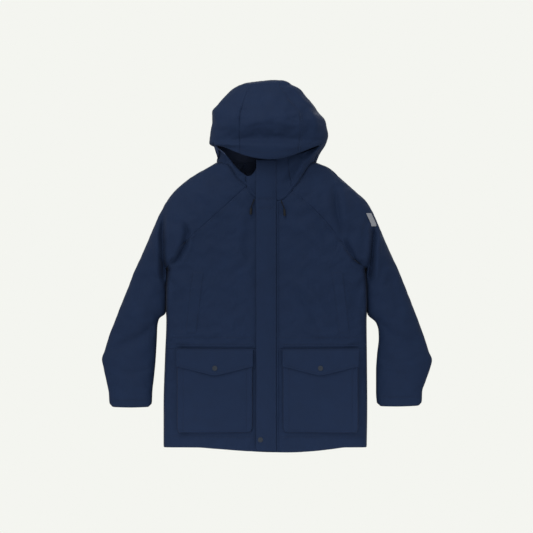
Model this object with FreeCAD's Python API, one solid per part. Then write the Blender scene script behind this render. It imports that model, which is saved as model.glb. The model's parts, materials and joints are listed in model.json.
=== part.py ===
import FreeCAD, Part
import math
import os

# Foul weather jacket, hanging from its hanger loop. Units are millimetres.
# +X is the wearer's left, the front faces -Y, +Z is up.
# The origin is the hanger loop's seat at the back neck.
# Every piece of cloth is a thin closed solid. Right and left are the wearer's.

V = FreeCAD.Vector

# ---- driving dimensions ----
FRONT_Y = -120.0            # outer face of the front, a straight vertical wall
BACK_Y = 22.0               # outer face of the back
SIDE_Y = -50.0              # side seam, where front meets back
HEM_Z = -818.0              # front hem
BACK_HEM_DROP = 14.0        # the back hem hangs lower than the front hem
SHOULDER_TOP_Z = 12.0       # top of the shoulders, at the neck
UNDERARM_Z = -300.0
BODY_HALF = 290.0           # half width of the body below the underarm
HEM_HALF = 296.0
WAIST_Z = -533.0            # seam that also holds the pocket flaps

SHELL_T = 1.5               # outer cloth
LINING_IN = 4.8             # depth of the lining below the outer face
LINING_T = 1.0
FACING_IN = 2.0             # depth of the facings below the outer face
FACING_T = 1.0
GAP = 0.6                   # clearance between pieces that move apart

NECK_FRONT_Z = -98.0        # lowest point of the V neckline
NECK_FRONT_X = 36.0
NECK_SIDE_X = 131.0
NECK_SIDE_Z = 11.0
NECK_BACK_Z = 8.0
CHIN_X = 60.0               # the chin guards reach this far from the centre
CHIN_RIGHT_Z = -30.0        # top of the right chin guard
CHIN_LEFT_Z = 4.0

HOOD_PIVOT = V(0, 12.0, 10.0)
HOOD_BOTTOM_Z = 12.6
PEAK_LOW_Z = 16.0           # peak edge at the centre
PEAK_SIDE_Z = 59.0          # peak edge at its ends
PEAK_HALF = 158.0
PEAK_TOP_Z = 84.0           # seam between the peak and the hood's panels
HOOD_SEAM_X = 82.0          # seams beside the hood's centre panel

ARM_PIVOT_X = 230.0
ARM_PIVOT_Z = -175.0
ARMHOLE_R = 137.0

FLAP_LEFT_X = 29.7          # sewn edge of the storm flap
FLAP_RIGHT_X = -29.0        # free edge
FLAP_TOP_Z = 12.0
FLAP_BACK_Y = -125.2
FLAP_T = 2.4
SNAP_X = -17.0
SNAP_LOW_Z = -796.0
SNAP_PITCH = 173.0
SNAP_COUNT = 5
SNAP_R = 7.5

ZIP_X = 3.0
ZIP_Y = -116.4              # front face of the zip tapes
ZIP_LOW_Z = -806.0
ZIP_TOP_Z = -6.0
TOOTH_PITCH = 5.0
SLIDER_Z = -24.0            # slider's middle with the zip closed

POCKET_TOP_Z = -541.0
POCKET_LOW_Z = -775.0
POCKET_TOP_PROUD = 7.0      # how far the pocket's face stands off the front at its mouth
POCKET_LOW_PROUD = 14.0
POCKET_INNER_X = 40.0
POCKET_OUTER_X = 258.0
POCKET_CLOTH = 1.6
POCKET_HINGE = V(0, -121.4, WAIST_Z)
FLAP_CLEAR = 1.4            # between a pocket flap and the pocket under it
LEFT_SHIFT = 8.0            # the left pockets sit this much further out, beside the storm flap
FLAP_SIDE_Z = -584.0        # where the pocket flap's short sides end
FLAP_POINT_Z = -612.0
FLAP_SNAP_Z = -589.0

WELT_TOP_Z = -309.0
WELT_LOW_Z = -490.0
WELT_WIDTH = 33.0
WELT_TOP_X = 213.0
WELT_LEAN = 21.0            # its foot stands this much further out than its head

CUFF_Z = -702.0
CUFF_DEPTH = 23.0
CORD_D = 2.8

BIG = 1200.0                # size of a cutting block

# Half width of the shoulders and raglan sleeve heads by height, to the armhole.
SHOULDERS = [
    (-300, 380, FRONT_Y, BACK_Y),
    (-218, 343, FRONT_Y, BACK_Y),
    (-125, 302, FRONT_Y, BACK_Y),
    (-95, 282, -118, BACK_Y),
    (-55, 239, -113, BACK_Y - 1),
    (-20, 194, -103, BACK_Y - 3),
    (SHOULDER_TOP_Z, 147, -88, BACK_Y - 6),
]

# Arm part of a sleeve by height: inner edge, outer edge, front face, back face.
ARM = [
    (-225, 262, 346, -108, 6),
    (-262, 284, 362, -104, 2),
    (-306, 297, 382, -98, -4),
    (-403, 307, 421, -90, -12),
    (-496, 315, 456, -86, -17),
    (-552, 318, 476, -84, -19),
    (-612, 321, 468, -82, -21),
    (-658, 326, 457, -80, -23),
    (CUFF_Z, 329, 456, -79, -24),
]

# Hood dome by height: middle, half width, front face, back face.
HOOD = [
    (HOOD_BOTTOM_Z, 0, 146, -100, 12.0),
    (38, 4, 152, -138, 16),
    (61, 3, 170, -168, 20),
    (100, 8, 169, -165, 24),
    (150, 0, 155, -146, 20),
    (195, -2, 122, -120, 2),
    (226, 4, 84, -98, -22),
    (244, 20, 34, -76, -46),
]

# Right drawcord tail, from the end of the hood's channel down into its cord end.
# The left tail is its mirror image, a little further out.
CORD_ROUTE = [
    (-35.0, -123.2, -99.0),
    (-36.6, -125.0, -105.5),
    (-39.6, -125.8, -112.0),
    (-42.6, -125.2, -118.5),
    (-44.0, -124.9, -125.0),
    (-44.4, -125.0, -131.0),
]


# ---- helpers ----
def export(shape, name):
    shape.exportStep("parts/" + name + ".step")


def mirror(shape):
    return shape.mirror(V(0, 0, 0), V(1, 0, 0))


def moved(shape, x, y, z):
    copy = shape.copy()
    copy.translate(V(x, y, z))
    return copy


def box(x0, x1, y0, y1, z0, z1):
    return Part.makeBox(x1 - x0, y1 - y0, z1 - z0, V(x0, y0, z0))


def prism_y(points, y0, y1):
    """A polygon of (x, z) points, pushed along Y."""
    corners = [V(x, y0, z) for x, z in points]
    face = Part.Face(Part.makePolygon(corners + corners[:1]))
    return face.extrude(V(0, y1 - y0, 0))


def prism_x(points, x0, x1):
    """A polygon of (y, z) points, pushed along X."""
    corners = [V(x0, y, z) for y, z in points]
    face = Part.Face(Part.makePolygon(corners + corners[:1]))
    return face.extrude(V(x1 - x0, 0, 0))


def round_ring(z, x0, x1, y0, y1, r):
    """A rectangle with round corners at height z, as one closed wire."""
    r = min(r, 0.49 * (x1 - x0), 0.49 * (y1 - y0))
    edges = []
    centres = [(x1 - r, y0 + r, -90), (x1 - r, y1 - r, 0), (x0 + r, y1 - r, 90), (x0 + r, y0 + r, 180)]
    arcs = []
    for cx, cy, start in centres:
        at = [math.radians(start + turn) for turn in (0, 45, 90)]
        arcs.append([V(cx + r * math.cos(a), cy + r * math.sin(a), z) for a in at])
    for n, (first, middle, last) in enumerate(arcs):
        edges.append(Part.Arc(first, middle, last).toShape())
        edges.append(Part.makeLine(last, arcs[(n + 1) % 4][0]))
    return Part.Wire(edges)


def loft(rings):
    return Part.makeLoft(rings, True, True)


def pieces(shape, least=20.0):
    """The shape without slivers smaller than least cubic millimetres."""
    solids = [s for s in shape.Solids if s.Volume > least]
    if not solids:
        raise ValueError("nothing is left of this piece")
    if len(solids) == 1:
        return solids[0]
    return Part.makeCompound(solids)


# ---- body ----
def body_block(inset):
    """The whole body below the underarm, smaller by inset on every side."""
    rings = []
    for z, half in [(HEM_Z - BACK_HEM_DROP - 8, HEM_HALF), (-560, 293), (UNDERARM_Z, BODY_HALF)]:
        rings.append(
            round_ring(z, inset - half, half - inset, FRONT_Y + inset, BACK_Y - inset, 52 - inset)
        )
    return loft(rings)


def shoulder_block(inset):
    """The shoulders and sleeve heads, as far out as the armholes' circles."""
    rings = []
    for z, half, front, back in SHOULDERS:
        rings.append(round_ring(z, inset - half, half - inset, front + inset, back - inset, 52 - inset))
    block = loft(rings)
    if inset:
        top = SHOULDERS[-1]
        cap = round_ring(
            top[0], inset - top[1], top[1] - inset, top[2] + inset, top[3] - inset, 52 - inset
        )
        block = block.fuse(Part.Face(cap).extrude(V(0, 0, 30)))
    outside = box(BODY_HALF - 4, 500, -300, 300, UNDERARM_Z - 1, ARM_PIVOT_Z)
    rim = Part.makeCylinder(
        ARMHOLE_R - inset, 600, V(ARM_PIVOT_X, -300, ARM_PIVOT_Z), V(0, 1, 0)
    )
    corner = outside.cut(rim)
    return block.cut(corner).cut(mirror(corner))


def torso_block(inset):
    return body_block(inset).fuse(shoulder_block(inset))


def torso_layer(depth, thickness):
    """A layer of cloth that follows the whole torso, depth below its outer face."""
    return torso_block(depth).cut(torso_block(depth + thickness))


def v_neck(inset):
    """The hole of the neckline: a V in front, level at the back."""
    a, b = NECK_FRONT_X - inset, NECK_SIDE_X - inset
    low, side = NECK_FRONT_Z + inset, NECK_SIDE_Z + inset
    front = prism_y([(-a, low), (a, low), (b, side), (b, 90), (-b, 90), (-b, side)], -300, SIDE_Y)
    return front.fuse(box(-BIG, BIG, SIDE_Y, 300, NECK_BACK_Z + inset, 90))


def raglan_side():
    """Everything outside the left raglan seams, front and back."""
    edge = [(223, -213), (288, UNDERARM_Z), (500, UNDERARM_Z), (500, 90)]
    front = prism_y([(58, 90), (58, -62), (100, -101)] + edge, -300, SIDE_Y)
    back = prism_y([(60, 90), (60, -30), (110, -101)] + edge, SIDE_Y, 300)
    return front.fuse(back)


def front_half():
    return box(-BIG, BIG, -300, SIDE_Y, -BIG, BIG)


def make_torso():
    shell = torso_layer(0, SHELL_T).cut(v_neck(0))
    centre_gap = box(ZIP_X - 11, ZIP_X + 11, -300, SIDE_Y, -BIG, BIG)
    heads = raglan_side()
    front = shell.common(front_half())
    front = front.cut(box(-BIG, BIG, -300, 300, -BIG, HEM_Z)).cut(centre_gap)
    for side, name in ((1, "left"), (-1, "right")):
        cut_heads = heads if side > 0 else mirror(heads)
        half = box(0, BIG, -300, 300, -BIG, BIG)
        half = half if side > 0 else mirror(half)
        one_front = front.common(half).cut(cut_heads)
        export(pieces(one_front.common(box(-BIG, BIG, -300, 300, WAIST_Z, BIG))), name + "_front_panel")
        export(pieces(one_front.common(box(-BIG, BIG, -300, 300, -BIG, WAIST_Z))), name + "_front_skirt")
        export(pieces(shell.common(cut_heads)), name + "_sleeve_head")
    back = shell.cut(front_half()).cut(heads).cut(mirror(heads))
    arc = Part.makeCylinder(BIG * 3, 400, V(0, -100, HEM_Z - BACK_HEM_DROP + BIG * 3), V(0, 1, 0))
    export(pieces(back.common(arc)), "back_panel")


def make_linings():
    lining = torso_layer(LINING_IN, LINING_T)
    keep = box(-BIG, BIG, -300, 300, HEM_Z + 30, -40)
    opening = box(-45, 45, -300, SIDE_Y, -BIG, BIG)
    v_room = v_neck(0).fuse(moved(v_neck(0), 0, 0, -12))
    export(pieces(lining.common(keep).cut(opening).cut(v_room)), "body_lining")

    facing = torso_layer(FACING_IN, FACING_T)
    hem = facing.common(box(-BIG, BIG, -300, 300, HEM_Z + 2, HEM_Z + 28))
    export(pieces(hem.cut(box(-46, 46, -300, SIDE_Y, -BIG, BIG))), "hem_facing")
    strip_y = FRONT_Y + FACING_IN
    low, high = HEM_Z + 2, NECK_FRONT_Z - 30
    export(box(ZIP_X + 12, 44, strip_y, strip_y + FACING_T, low, high), "left_front_facing")
    export(box(-44, ZIP_X - 12, strip_y, strip_y + FACING_T, low, high), "right_front_facing")


# ---- neck and chin ----
def neck_tube(y_front, x_half, thickness):
    """A standing wall around the neck, the same outline at every height."""
    outer = round_ring(NECK_FRONT_Z - 5, -x_half, x_half, y_front, HOOD_PIVOT.y, 68)
    t = thickness
    inner = round_ring(NECK_FRONT_Z - 5, t - x_half, x_half - t, y_front + t, HOOD_PIVOT.y - t, 68 - t)
    height = V(0, 0, HOOD_BOTTOM_Z - NECK_FRONT_Z + 5)
    return Part.Face(outer).extrude(height).cut(Part.Face(inner).extrude(height))


def make_chin_guards():
    wall = neck_tube(FRONT_Y + 2, 143, 2.2).common(v_neck(0.2))
    right = box(-CHIN_X, ZIP_X - 11, -300, SIDE_Y, -BIG, CHIN_RIGHT_Z)
    left = box(ZIP_X + 11, CHIN_X, -300, SIDE_Y, -BIG, CHIN_LEFT_Z)
    slope = prism_y([
        (-CHIN_X - 1, CHIN_RIGHT_Z), (-47, CHIN_RIGHT_Z - 4), (-20, -2), (0, -2), (0, 40), (-90, 40)
    ], -300, 0)
    tall = box(-CHIN_X, ZIP_X - 11, -300, SIDE_Y, -BIG, -2).cut(slope)
    export(pieces(wall.common(tall.fuse(right))), "right_chin_guard")
    export(pieces(wall.common(left)), "left_chin_guard")


def make_back_neck():
    """Hanger loop and blank label, sewn inside the back neck."""
    inner_y = BACK_Y - 3 - SHELL_T - LINING_T - 4
    path = Part.Wire([
        Part.makeLine(V(-24, inner_y - 4, -22), V(-24, inner_y - 4, -6)),
        Part.Arc(V(-24, inner_y - 4, -6), V(0, inner_y - 4, 2.0), V(24, inner_y - 4, -6)).toShape(),
        Part.makeLine(V(24, inner_y - 4, -6), V(24, inner_y - 4, -22)),
    ])
    ring = Part.Wire([Part.Circle(V(-24, inner_y - 4, -22), V(0, 0, 1), 2.0).toShape()])
    export(path.makePipeShell([ring], True, False), "hanger_loop")
    export(box(-30, 30, inner_y - 1.6, inner_y - 0.8, -66, -28), "neck_label")


# ---- zip ----
def make_zip():
    tape_t = 1.2
    back = ZIP_Y + tape_t
    for side, name in ((1, "left"), (-1, "right")):
        inner = ZIP_X + side * 1.6
        outer = ZIP_X + side * 10.4
        tape = box(min(inner, outer), max(inner, outer), ZIP_Y, back, ZIP_LOW_Z, ZIP_TOP_Z)
        teeth = []
        count = int((ZIP_TOP_Z - ZIP_LOW_Z - 12) / TOOTH_PITCH)
        offset = 0 if side > 0 else TOOTH_PITCH / 2
        near = ZIP_X + side * 0.3
        far = ZIP_X + side * 3.4
        for n in range(count):
            z = ZIP_LOW_Z + 8 + offset + n * TOOTH_PITCH
            teeth.append(box(min(near, far), max(near, far), ZIP_Y - 1.0, back + 0.2, z, z + 2.1))
        export(tape.multiFuse(teeth).removeSplitter(), name + "_zip_tape")
    stops = []
    for side in (1, -1):
        x = ZIP_X + side * 4.6
        stops.append(box(x - 1.0, x + 1.0, ZIP_Y - 1.6, ZIP_Y, ZIP_TOP_Z - 6, ZIP_TOP_Z - 1))
    export(Part.makeCompound(stops), "zip_top_stops")
    retainer = box(ZIP_X - 4, ZIP_X + 4, ZIP_Y - 2.6, ZIP_Y - 1.2, ZIP_LOW_Z + 1, ZIP_LOW_Z + 12)
    export(retainer, "zip_bottom_box")
    guard_y = ZIP_Y + tape_t + 1.2
    export(box(ZIP_X - 22, ZIP_X + 19, guard_y, guard_y + 1.2, HEM_Z + 8, NECK_FRONT_Z - 4), "wind_guard")

    # The slider rides on the front of the teeth; the pull hangs on its bridge.
    face = ZIP_Y - 1.0 - GAP
    plate = prism_y([(-5.5, 8), (-3.2, -9), (3.2, -9), (5.5, 8)], face - 1.6, face)
    bridge = box(-1.6, 1.6, face - 3.0, face - 1.6, -3, 7)
    slider = plate.fuse(bridge).removeSplitter()
    export(moved(slider, ZIP_X, 0, SLIDER_Z), "zip_slider")
    tab = box(-3.6, 3.6, face - 2.9, face - 1.9, -28, -4.0)
    hole = Part.makeCylinder(1.6, 10, V(0, face - 6, -24), V(0, 1, 0))
    export(moved(tab.cut(hole), ZIP_X, 0, SLIDER_Z), "zip_pull")


# ---- storm flap ----
def snap_stud(x, z, y_base, y_tip):
    """A snap's stud: a low flange on the cloth and a short neck towards the front."""
    flange = Part.makeCylinder(5.5, 0.6, V(x, y_base, z), V(0, -1, 0))
    neck = Part.makeCylinder(2.0, y_base - y_tip, V(x, y_base, z), V(0, -1, 0))
    return flange.fuse(neck).removeSplitter()


def snap_socket(x, z, y_front, depth):
    """The socket that takes the stud: a ring behind the flap."""
    ring = Part.makeCylinder(5.5, depth, V(x, y_front, z), V(0, 1, 0))
    return ring.cut(Part.makeCylinder(2.5, depth, V(x, y_front, z), V(0, 1, 0)))


def snap_cap(x, z, y_back):
    """A domed snap cap with a small dimple, its back face at y_back."""
    cap = Part.makeCylinder(SNAP_R, 1.8, V(x, y_back, z), V(0, -1, 0))
    cap = cap.makeFillet(1.2, [e for e in cap.Edges if abs(e.BoundBox.YMin - (y_back - 1.8)) < 0.01
                               and abs(e.BoundBox.YMax - (y_back - 1.8)) < 0.01])
    return cap.cut(Part.makeCylinder(1.8, 0.5, V(x, y_back - 1.8, z), V(0, 1, 0)))


def make_storm_flap():
    back, front = FLAP_BACK_Y, FLAP_BACK_Y - FLAP_T
    flap = box(FLAP_RIGHT_X, FLAP_LEFT_X, front, back, HEM_Z + 2, FLAP_TOP_Z)
    rounded = [e for e in flap.Edges if e.BoundBox.XMax < FLAP_RIGHT_X + 0.1 and e.BoundBox.YLength > 1]
    export(flap.makeFillet(8, rounded), "storm_flap")
    export(snap_cap(SNAP_X, SNAP_LOW_Z, front), "storm_flap_snap_cap")
    heights = [SNAP_LOW_Z + n * SNAP_PITCH for n in range(SNAP_COUNT)]
    sockets = [snap_socket(SNAP_X, z, back, 1.6) for z in heights]
    export(Part.makeCompound(sockets), "storm_flap_sockets")
    studs = [snap_stud(SNAP_X, z, FRONT_Y, FLAP_BACK_Y + 0.6) for z in heights]
    export(Part.makeCompound(studs), "storm_flap_studs")
    base = box(FLAP_LEFT_X + 0.6, FLAP_LEFT_X + 4, -124.1, FRONT_Y, HEM_Z + 2, NECK_FRONT_Z - 2)
    export(base, "storm_flap_seam")


# ---- pockets ----
def pocket_face_y(z, inside=0.0):
    """Outer face of a patch pocket at a height: it stands off more towards its bottom."""
    share = (POCKET_TOP_Z - z) / (POCKET_TOP_Z - POCKET_LOW_Z)
    return FRONT_Y - POCKET_TOP_PROUD - share * (POCKET_LOW_PROUD - POCKET_TOP_PROUD) + inside


def pocket_wedge(x0, x1, z0, z1, inset):
    points = [
        (FRONT_Y, z0),
        (pocket_face_y(z0, inset), z0),
        (pocket_face_y(z1, inset), z1),
        (FRONT_Y, z1),
    ]
    return prism_x(points, x0, x1)


def pocket_flap(x0, x1, middle):
    """A pointed flap that steps out from its seam and lies over the sloping pocket."""
    root_y, root_z = POCKET_HINGE.y, POCKET_HINGE.z
    bend_z = POCKET_TOP_Z + 2
    inner = [(root_y, root_z - 1), (pocket_face_y(bend_z) - FLAP_CLEAR, bend_z),
             (pocket_face_y(FLAP_POINT_Z) - FLAP_CLEAR, FLAP_POINT_Z)]
    outer = [(y - FLAP_T, z) for y, z in inner[1:]]
    root = (root_y - 0.8, root_z + 1)
    side = prism_x(inner + outer[::-1] + [root], x0, x1)
    outline = [
        (x0, root_z + 2), (x1, root_z + 2), (x1, FLAP_SIDE_Z), (middle, FLAP_POINT_Z), (x0, FLAP_SIDE_Z)
    ]
    return side.common(prism_y(outline, -300, 0))


def make_pockets():
    x0, x1 = POCKET_INNER_X, POCKET_OUTER_X
    t = POCKET_CLOTH
    tilt = math.degrees(math.atan((POCKET_LOW_PROUD - POCKET_TOP_PROUD) / (POCKET_TOP_Z - POCKET_LOW_Z)))
    middle = (x0 + x1) / 2
    face = pocket_face_y(FLAP_SNAP_Z)
    outer = pocket_wedge(x0, x1, POCKET_LOW_Z, POCKET_TOP_Z, 0)
    upright = [e for e in outer.Edges if e.BoundBox.XLength < 0.1 and e.BoundBox.ZLength > 100
               and e.BoundBox.YMin < FRONT_Y - 3]
    outer = outer.makeFillet(4, upright)
    bag = outer.cut(pocket_wedge(x0 + t, x1 - t, POCKET_LOW_Z + t, POCKET_TOP_Z + 1, t))
    stud = snap_stud(middle, FLAP_SNAP_Z, face, face - 0.8)
    cap = snap_cap(middle, FLAP_SNAP_Z, face - FLAP_CLEAR - FLAP_T)
    for piece in (stud, cap):
        piece.rotate(V(0, face, FLAP_SNAP_Z), V(1, 0, 0), -tilt)
    flap = pocket_flap(x0 - 1, x1 + 2, middle)
    ridge = box(x0 - 1, x1 + 2, FRONT_Y - 1.0, FRONT_Y, WAIST_Z + 6.5, WAIST_Z + 9.5)
    for shape, node in (
        (bag, "_patch_pocket"), (stud, "_pocket_stud"), (flap, "_pocket_flap"),
        (cap, "_flap_snap_cap"), (ridge, "_flap_seam"),
    ):
        export(moved(shape, LEFT_SHIFT, 0, 0), "left" + node)
        export(mirror(shape), "right" + node)


def make_hand_pockets():
    half = WELT_WIDTH / 2
    top_x, low_x = WELT_TOP_X - half, WELT_TOP_X - half + WELT_LEAN
    outline = [
        (top_x - half, WELT_TOP_Z), (top_x + half, WELT_TOP_Z),
        (low_x + half, WELT_LOW_Z), (low_x - half, WELT_LOW_Z),
    ]
    welt = prism_y(outline, FRONT_Y - 1.8, FRONT_Y)
    bag_outline = [
        (70, WELT_TOP_Z + 10), (top_x + 4, WELT_TOP_Z + 10), (low_x + 4, WELT_LOW_Z - 10), (70, WELT_LOW_Z - 30)
    ]
    room_outline = [
        (71, WELT_TOP_Z + 9), (top_x + 5, WELT_TOP_Z + 9), (low_x + 5, WELT_LOW_Z - 9), (71, WELT_LOW_Z - 29)
    ]
    front = FRONT_Y + SHELL_T + 0.3
    bag = prism_y(bag_outline, front, front + 2.6).cut(prism_y(room_outline, front + 0.8, front + 1.8))
    for shape, node in ((welt, "_hand_pocket_welt"), (bag, "_hand_pocket_bag")):
        export(moved(shape, LEFT_SHIFT, 0, 0), "left" + node)
        export(mirror(shape), "right" + node)


# ---- hood ----
def hood_block(inset):
    rings = []
    for n, (z, mid, half, front, back) in enumerate(HOOD):
        low = -4 if n == 0 and inset else 0
        high = -inset if n == len(HOOD) - 1 else 0
        depth = (back - front) / 2
        rings.append(
            round_ring(
                z + low + high, mid - half + inset, mid + half - inset,
                front + inset, back - inset, min(74, depth) - inset,
            )
        )
    return loft(rings)


def below_peak():
    """Space under the peak's edge: a low arch in front."""
    rise = PEAK_SIDE_Z - PEAK_LOW_Z
    radius = (PEAK_HALF ** 2 + rise ** 2) / (2 * rise)
    arch = Part.makeCylinder(radius, 200, V(0, -290, PEAK_LOW_Z + radius), V(0, 1, 0))
    return box(-190, 190, -290, -92, 0, PEAK_SIDE_Z).cut(arch)


def make_hood():
    shell = hood_block(0).cut(hood_block(SHELL_T)).cut(below_peak())
    wings = neck_tube(FRONT_Y + 2, 143, SHELL_T).common(v_neck(GAP)).common(front_half())
    wings = wings.cut(box(-CHIN_X - GAP, CHIN_X + GAP, -300, 0, -BIG, BIG))
    centre = box(-HOOD_SEAM_X, HOOD_SEAM_X, -300, 300, PEAK_TOP_Z, 300)
    low_back = box(-HOOD_SEAM_X, HOOD_SEAM_X, -60, 300, 0, PEAK_TOP_Z)
    peak = box(-200, 200, -300, -92, 0, PEAK_TOP_Z)
    export(pieces(shell.common(centre.fuse(low_back))), "hood_centre_panel")
    export(pieces(shell.common(peak)), "hood_peak")
    rest = shell.cut(centre).cut(low_back).cut(peak)
    for side, name in ((1, "left"), (-1, "right")):
        half = box(0, 400, -300, 300, -300, 400)
        half = half if side > 0 else mirror(half)
        panel = rest.fuse(wings).common(half)
        export(pieces(panel), "hood_" + name + "_panel")
    lining = hood_block(3.2).cut(hood_block(4.2)).cut(below_peak())
    lining = lining.cut(box(-300, 300, -300, -92, -50, PEAK_SIDE_Z + 6))
    export(pieces(lining.cut(box(-300, 300, -300, 300, -50, HOOD_BOTTOM_Z + 4))), "hood_lining")
    stiffener = hood_block(SHELL_T + 0.1).cut(hood_block(2.9)).cut(below_peak())
    band = box(-130, 130, -300, -110, PEAK_LOW_Z, PEAK_TOP_Z - 6).cut(moved(below_peak(), 0, 0, 6))
    export(pieces(stiffener.common(band)), "peak_stiffener")


# ---- sleeves ----
def arm_block(inset):
    rings = []
    for n, (z, x_in, x_out, front, back) in enumerate(ARM):
        shift = -2 if inset and n == len(ARM) - 1 else 0
        depth = (back - front) / 2 - 1
        rings.append(
            round_ring(z + shift, x_in + inset, x_out - inset, front + inset, back - inset, depth - inset)
        )
    return loft(rings)


def make_sleeves():
    armhole = Part.makeCylinder(
        ARMHOLE_R + GAP, 600, V(ARM_PIVOT_X, -300, ARM_PIVOT_Z), V(0, 1, 0)
    )
    upper = box(0, ARM_PIVOT_X + 60, -300, 300, -BIG, BIG)
    tube = arm_block(0).cut(arm_block(SHELL_T)).cut(armhole).cut(upper)
    inner = arm_block(3.0).cut(arm_block(4.0)).cut(armhole).cut(upper)
    inner = inner.common(box(0, BIG, -300, 300, CUFF_Z + CUFF_DEPTH + 4, BIG))
    cuff = arm_block(SHELL_T + 0.2).cut(arm_block(2.7))
    cuff = cuff.common(box(0, BIG, -300, 300, CUFF_Z + 1, CUFF_Z + CUFF_DEPTH))
    for shape, node in ((tube, "_sleeve"), (inner, "_sleeve_lining"), (cuff, "_cuff_facing")):
        whole = pieces(shape)
        export(whole, "left" + node)
        export(mirror(whole), "right" + node)


def make_patch():
    """A plain reflective tab sewn on the left sleeve head."""
    block = shoulder_block(-0.7).cut(shoulder_block(-0.1))
    area = box(296, 317, -200, -60, -182, -136)
    export(pieces(block.common(area), 5), "reflective_tab")


# ---- drawcord tails ----
def cord_path(points):
    """Straight runs joined by tangent arcs, and the arcs' radii."""
    runs = [points[n + 1] - points[n] for n in range(len(points) - 1)]
    edges = []
    radii = []
    start = points[0]
    for n in range(1, len(points) - 1):
        before, after = runs[n - 1], runs[n]
        turn = before.getAngle(after)
        shorter = min(before.Length, after.Length)
        radius = 0.45 * shorter / math.tan(turn / 2)
        radii.append(radius)
        reach = 0.45 * shorter
        enter = points[n] - before.normalize() * reach
        leave = points[n] + V(after).normalize() * reach
        inward = (enter - points[n]) + (leave - points[n])
        centre = points[n] + inward.normalize() * math.hypot(radius, reach)
        middle = centre + (points[n] - centre).normalize() * radius
        edges.append(Part.makeLine(start, enter))
        edges.append(Part.Arc(enter, middle, leave).toShape())
        runs[n - 1] = points[n] - points[n - 1]
        start = leave
    edges.append(Part.makeLine(start, points[-1]))
    return Part.Wire(edges), radii


def make_cords():
    for side, name in ((-1, "right"), (1, "left")):
        points = [V(-side * x + (side > 0) * 8, y, z + (side > 0) * -4) for x, y, z in CORD_ROUTE]
        path, radii = cord_path(points)
        along = (points[1] - points[0]).normalize()
        ring = Part.Wire([Part.Circle(points[0], along, CORD_D / 2).toShape()])
        tube = path.makePipeShell([ring], True, False)
        export(tube, name + "_drawcord")
        expected = math.pi * (CORD_D / 2) ** 2 * path.Length
        print(name, "drawcord: length", round(path.Length, 2), "radii", [round(r, 1) for r in radii],
              "volume ratio", round(tube.Volume / expected, 4))
        end = points[-1]
        down = (points[-1] - points[-2]).normalize()
        barrel = Part.makeCylinder(3.3, 19, end - down * 6, down)
        barrel = barrel.makeFillet(0.9, [e for e in barrel.Edges if e.Curve.TypeId == "Part::GeomCircle"])
        bore = Part.makeCylinder(CORD_D / 2, 6.0, end - down * 6, down)
        export(barrel.cut(bore), name + "_cord_end")


os.makedirs("parts", exist_ok=True)
make_torso()
make_linings()
make_chin_guards()
make_back_neck()
make_zip()
make_storm_flap()
make_pockets()
make_hand_pockets()
make_hood()
make_sleeves()
make_patch()
make_cords()
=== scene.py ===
import bpy
import json
import math
import numpy as np
from mathutils import Vector
from mathutils.bvhtree import BVHTree
from mathutils.kdtree import KDTree

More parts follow.
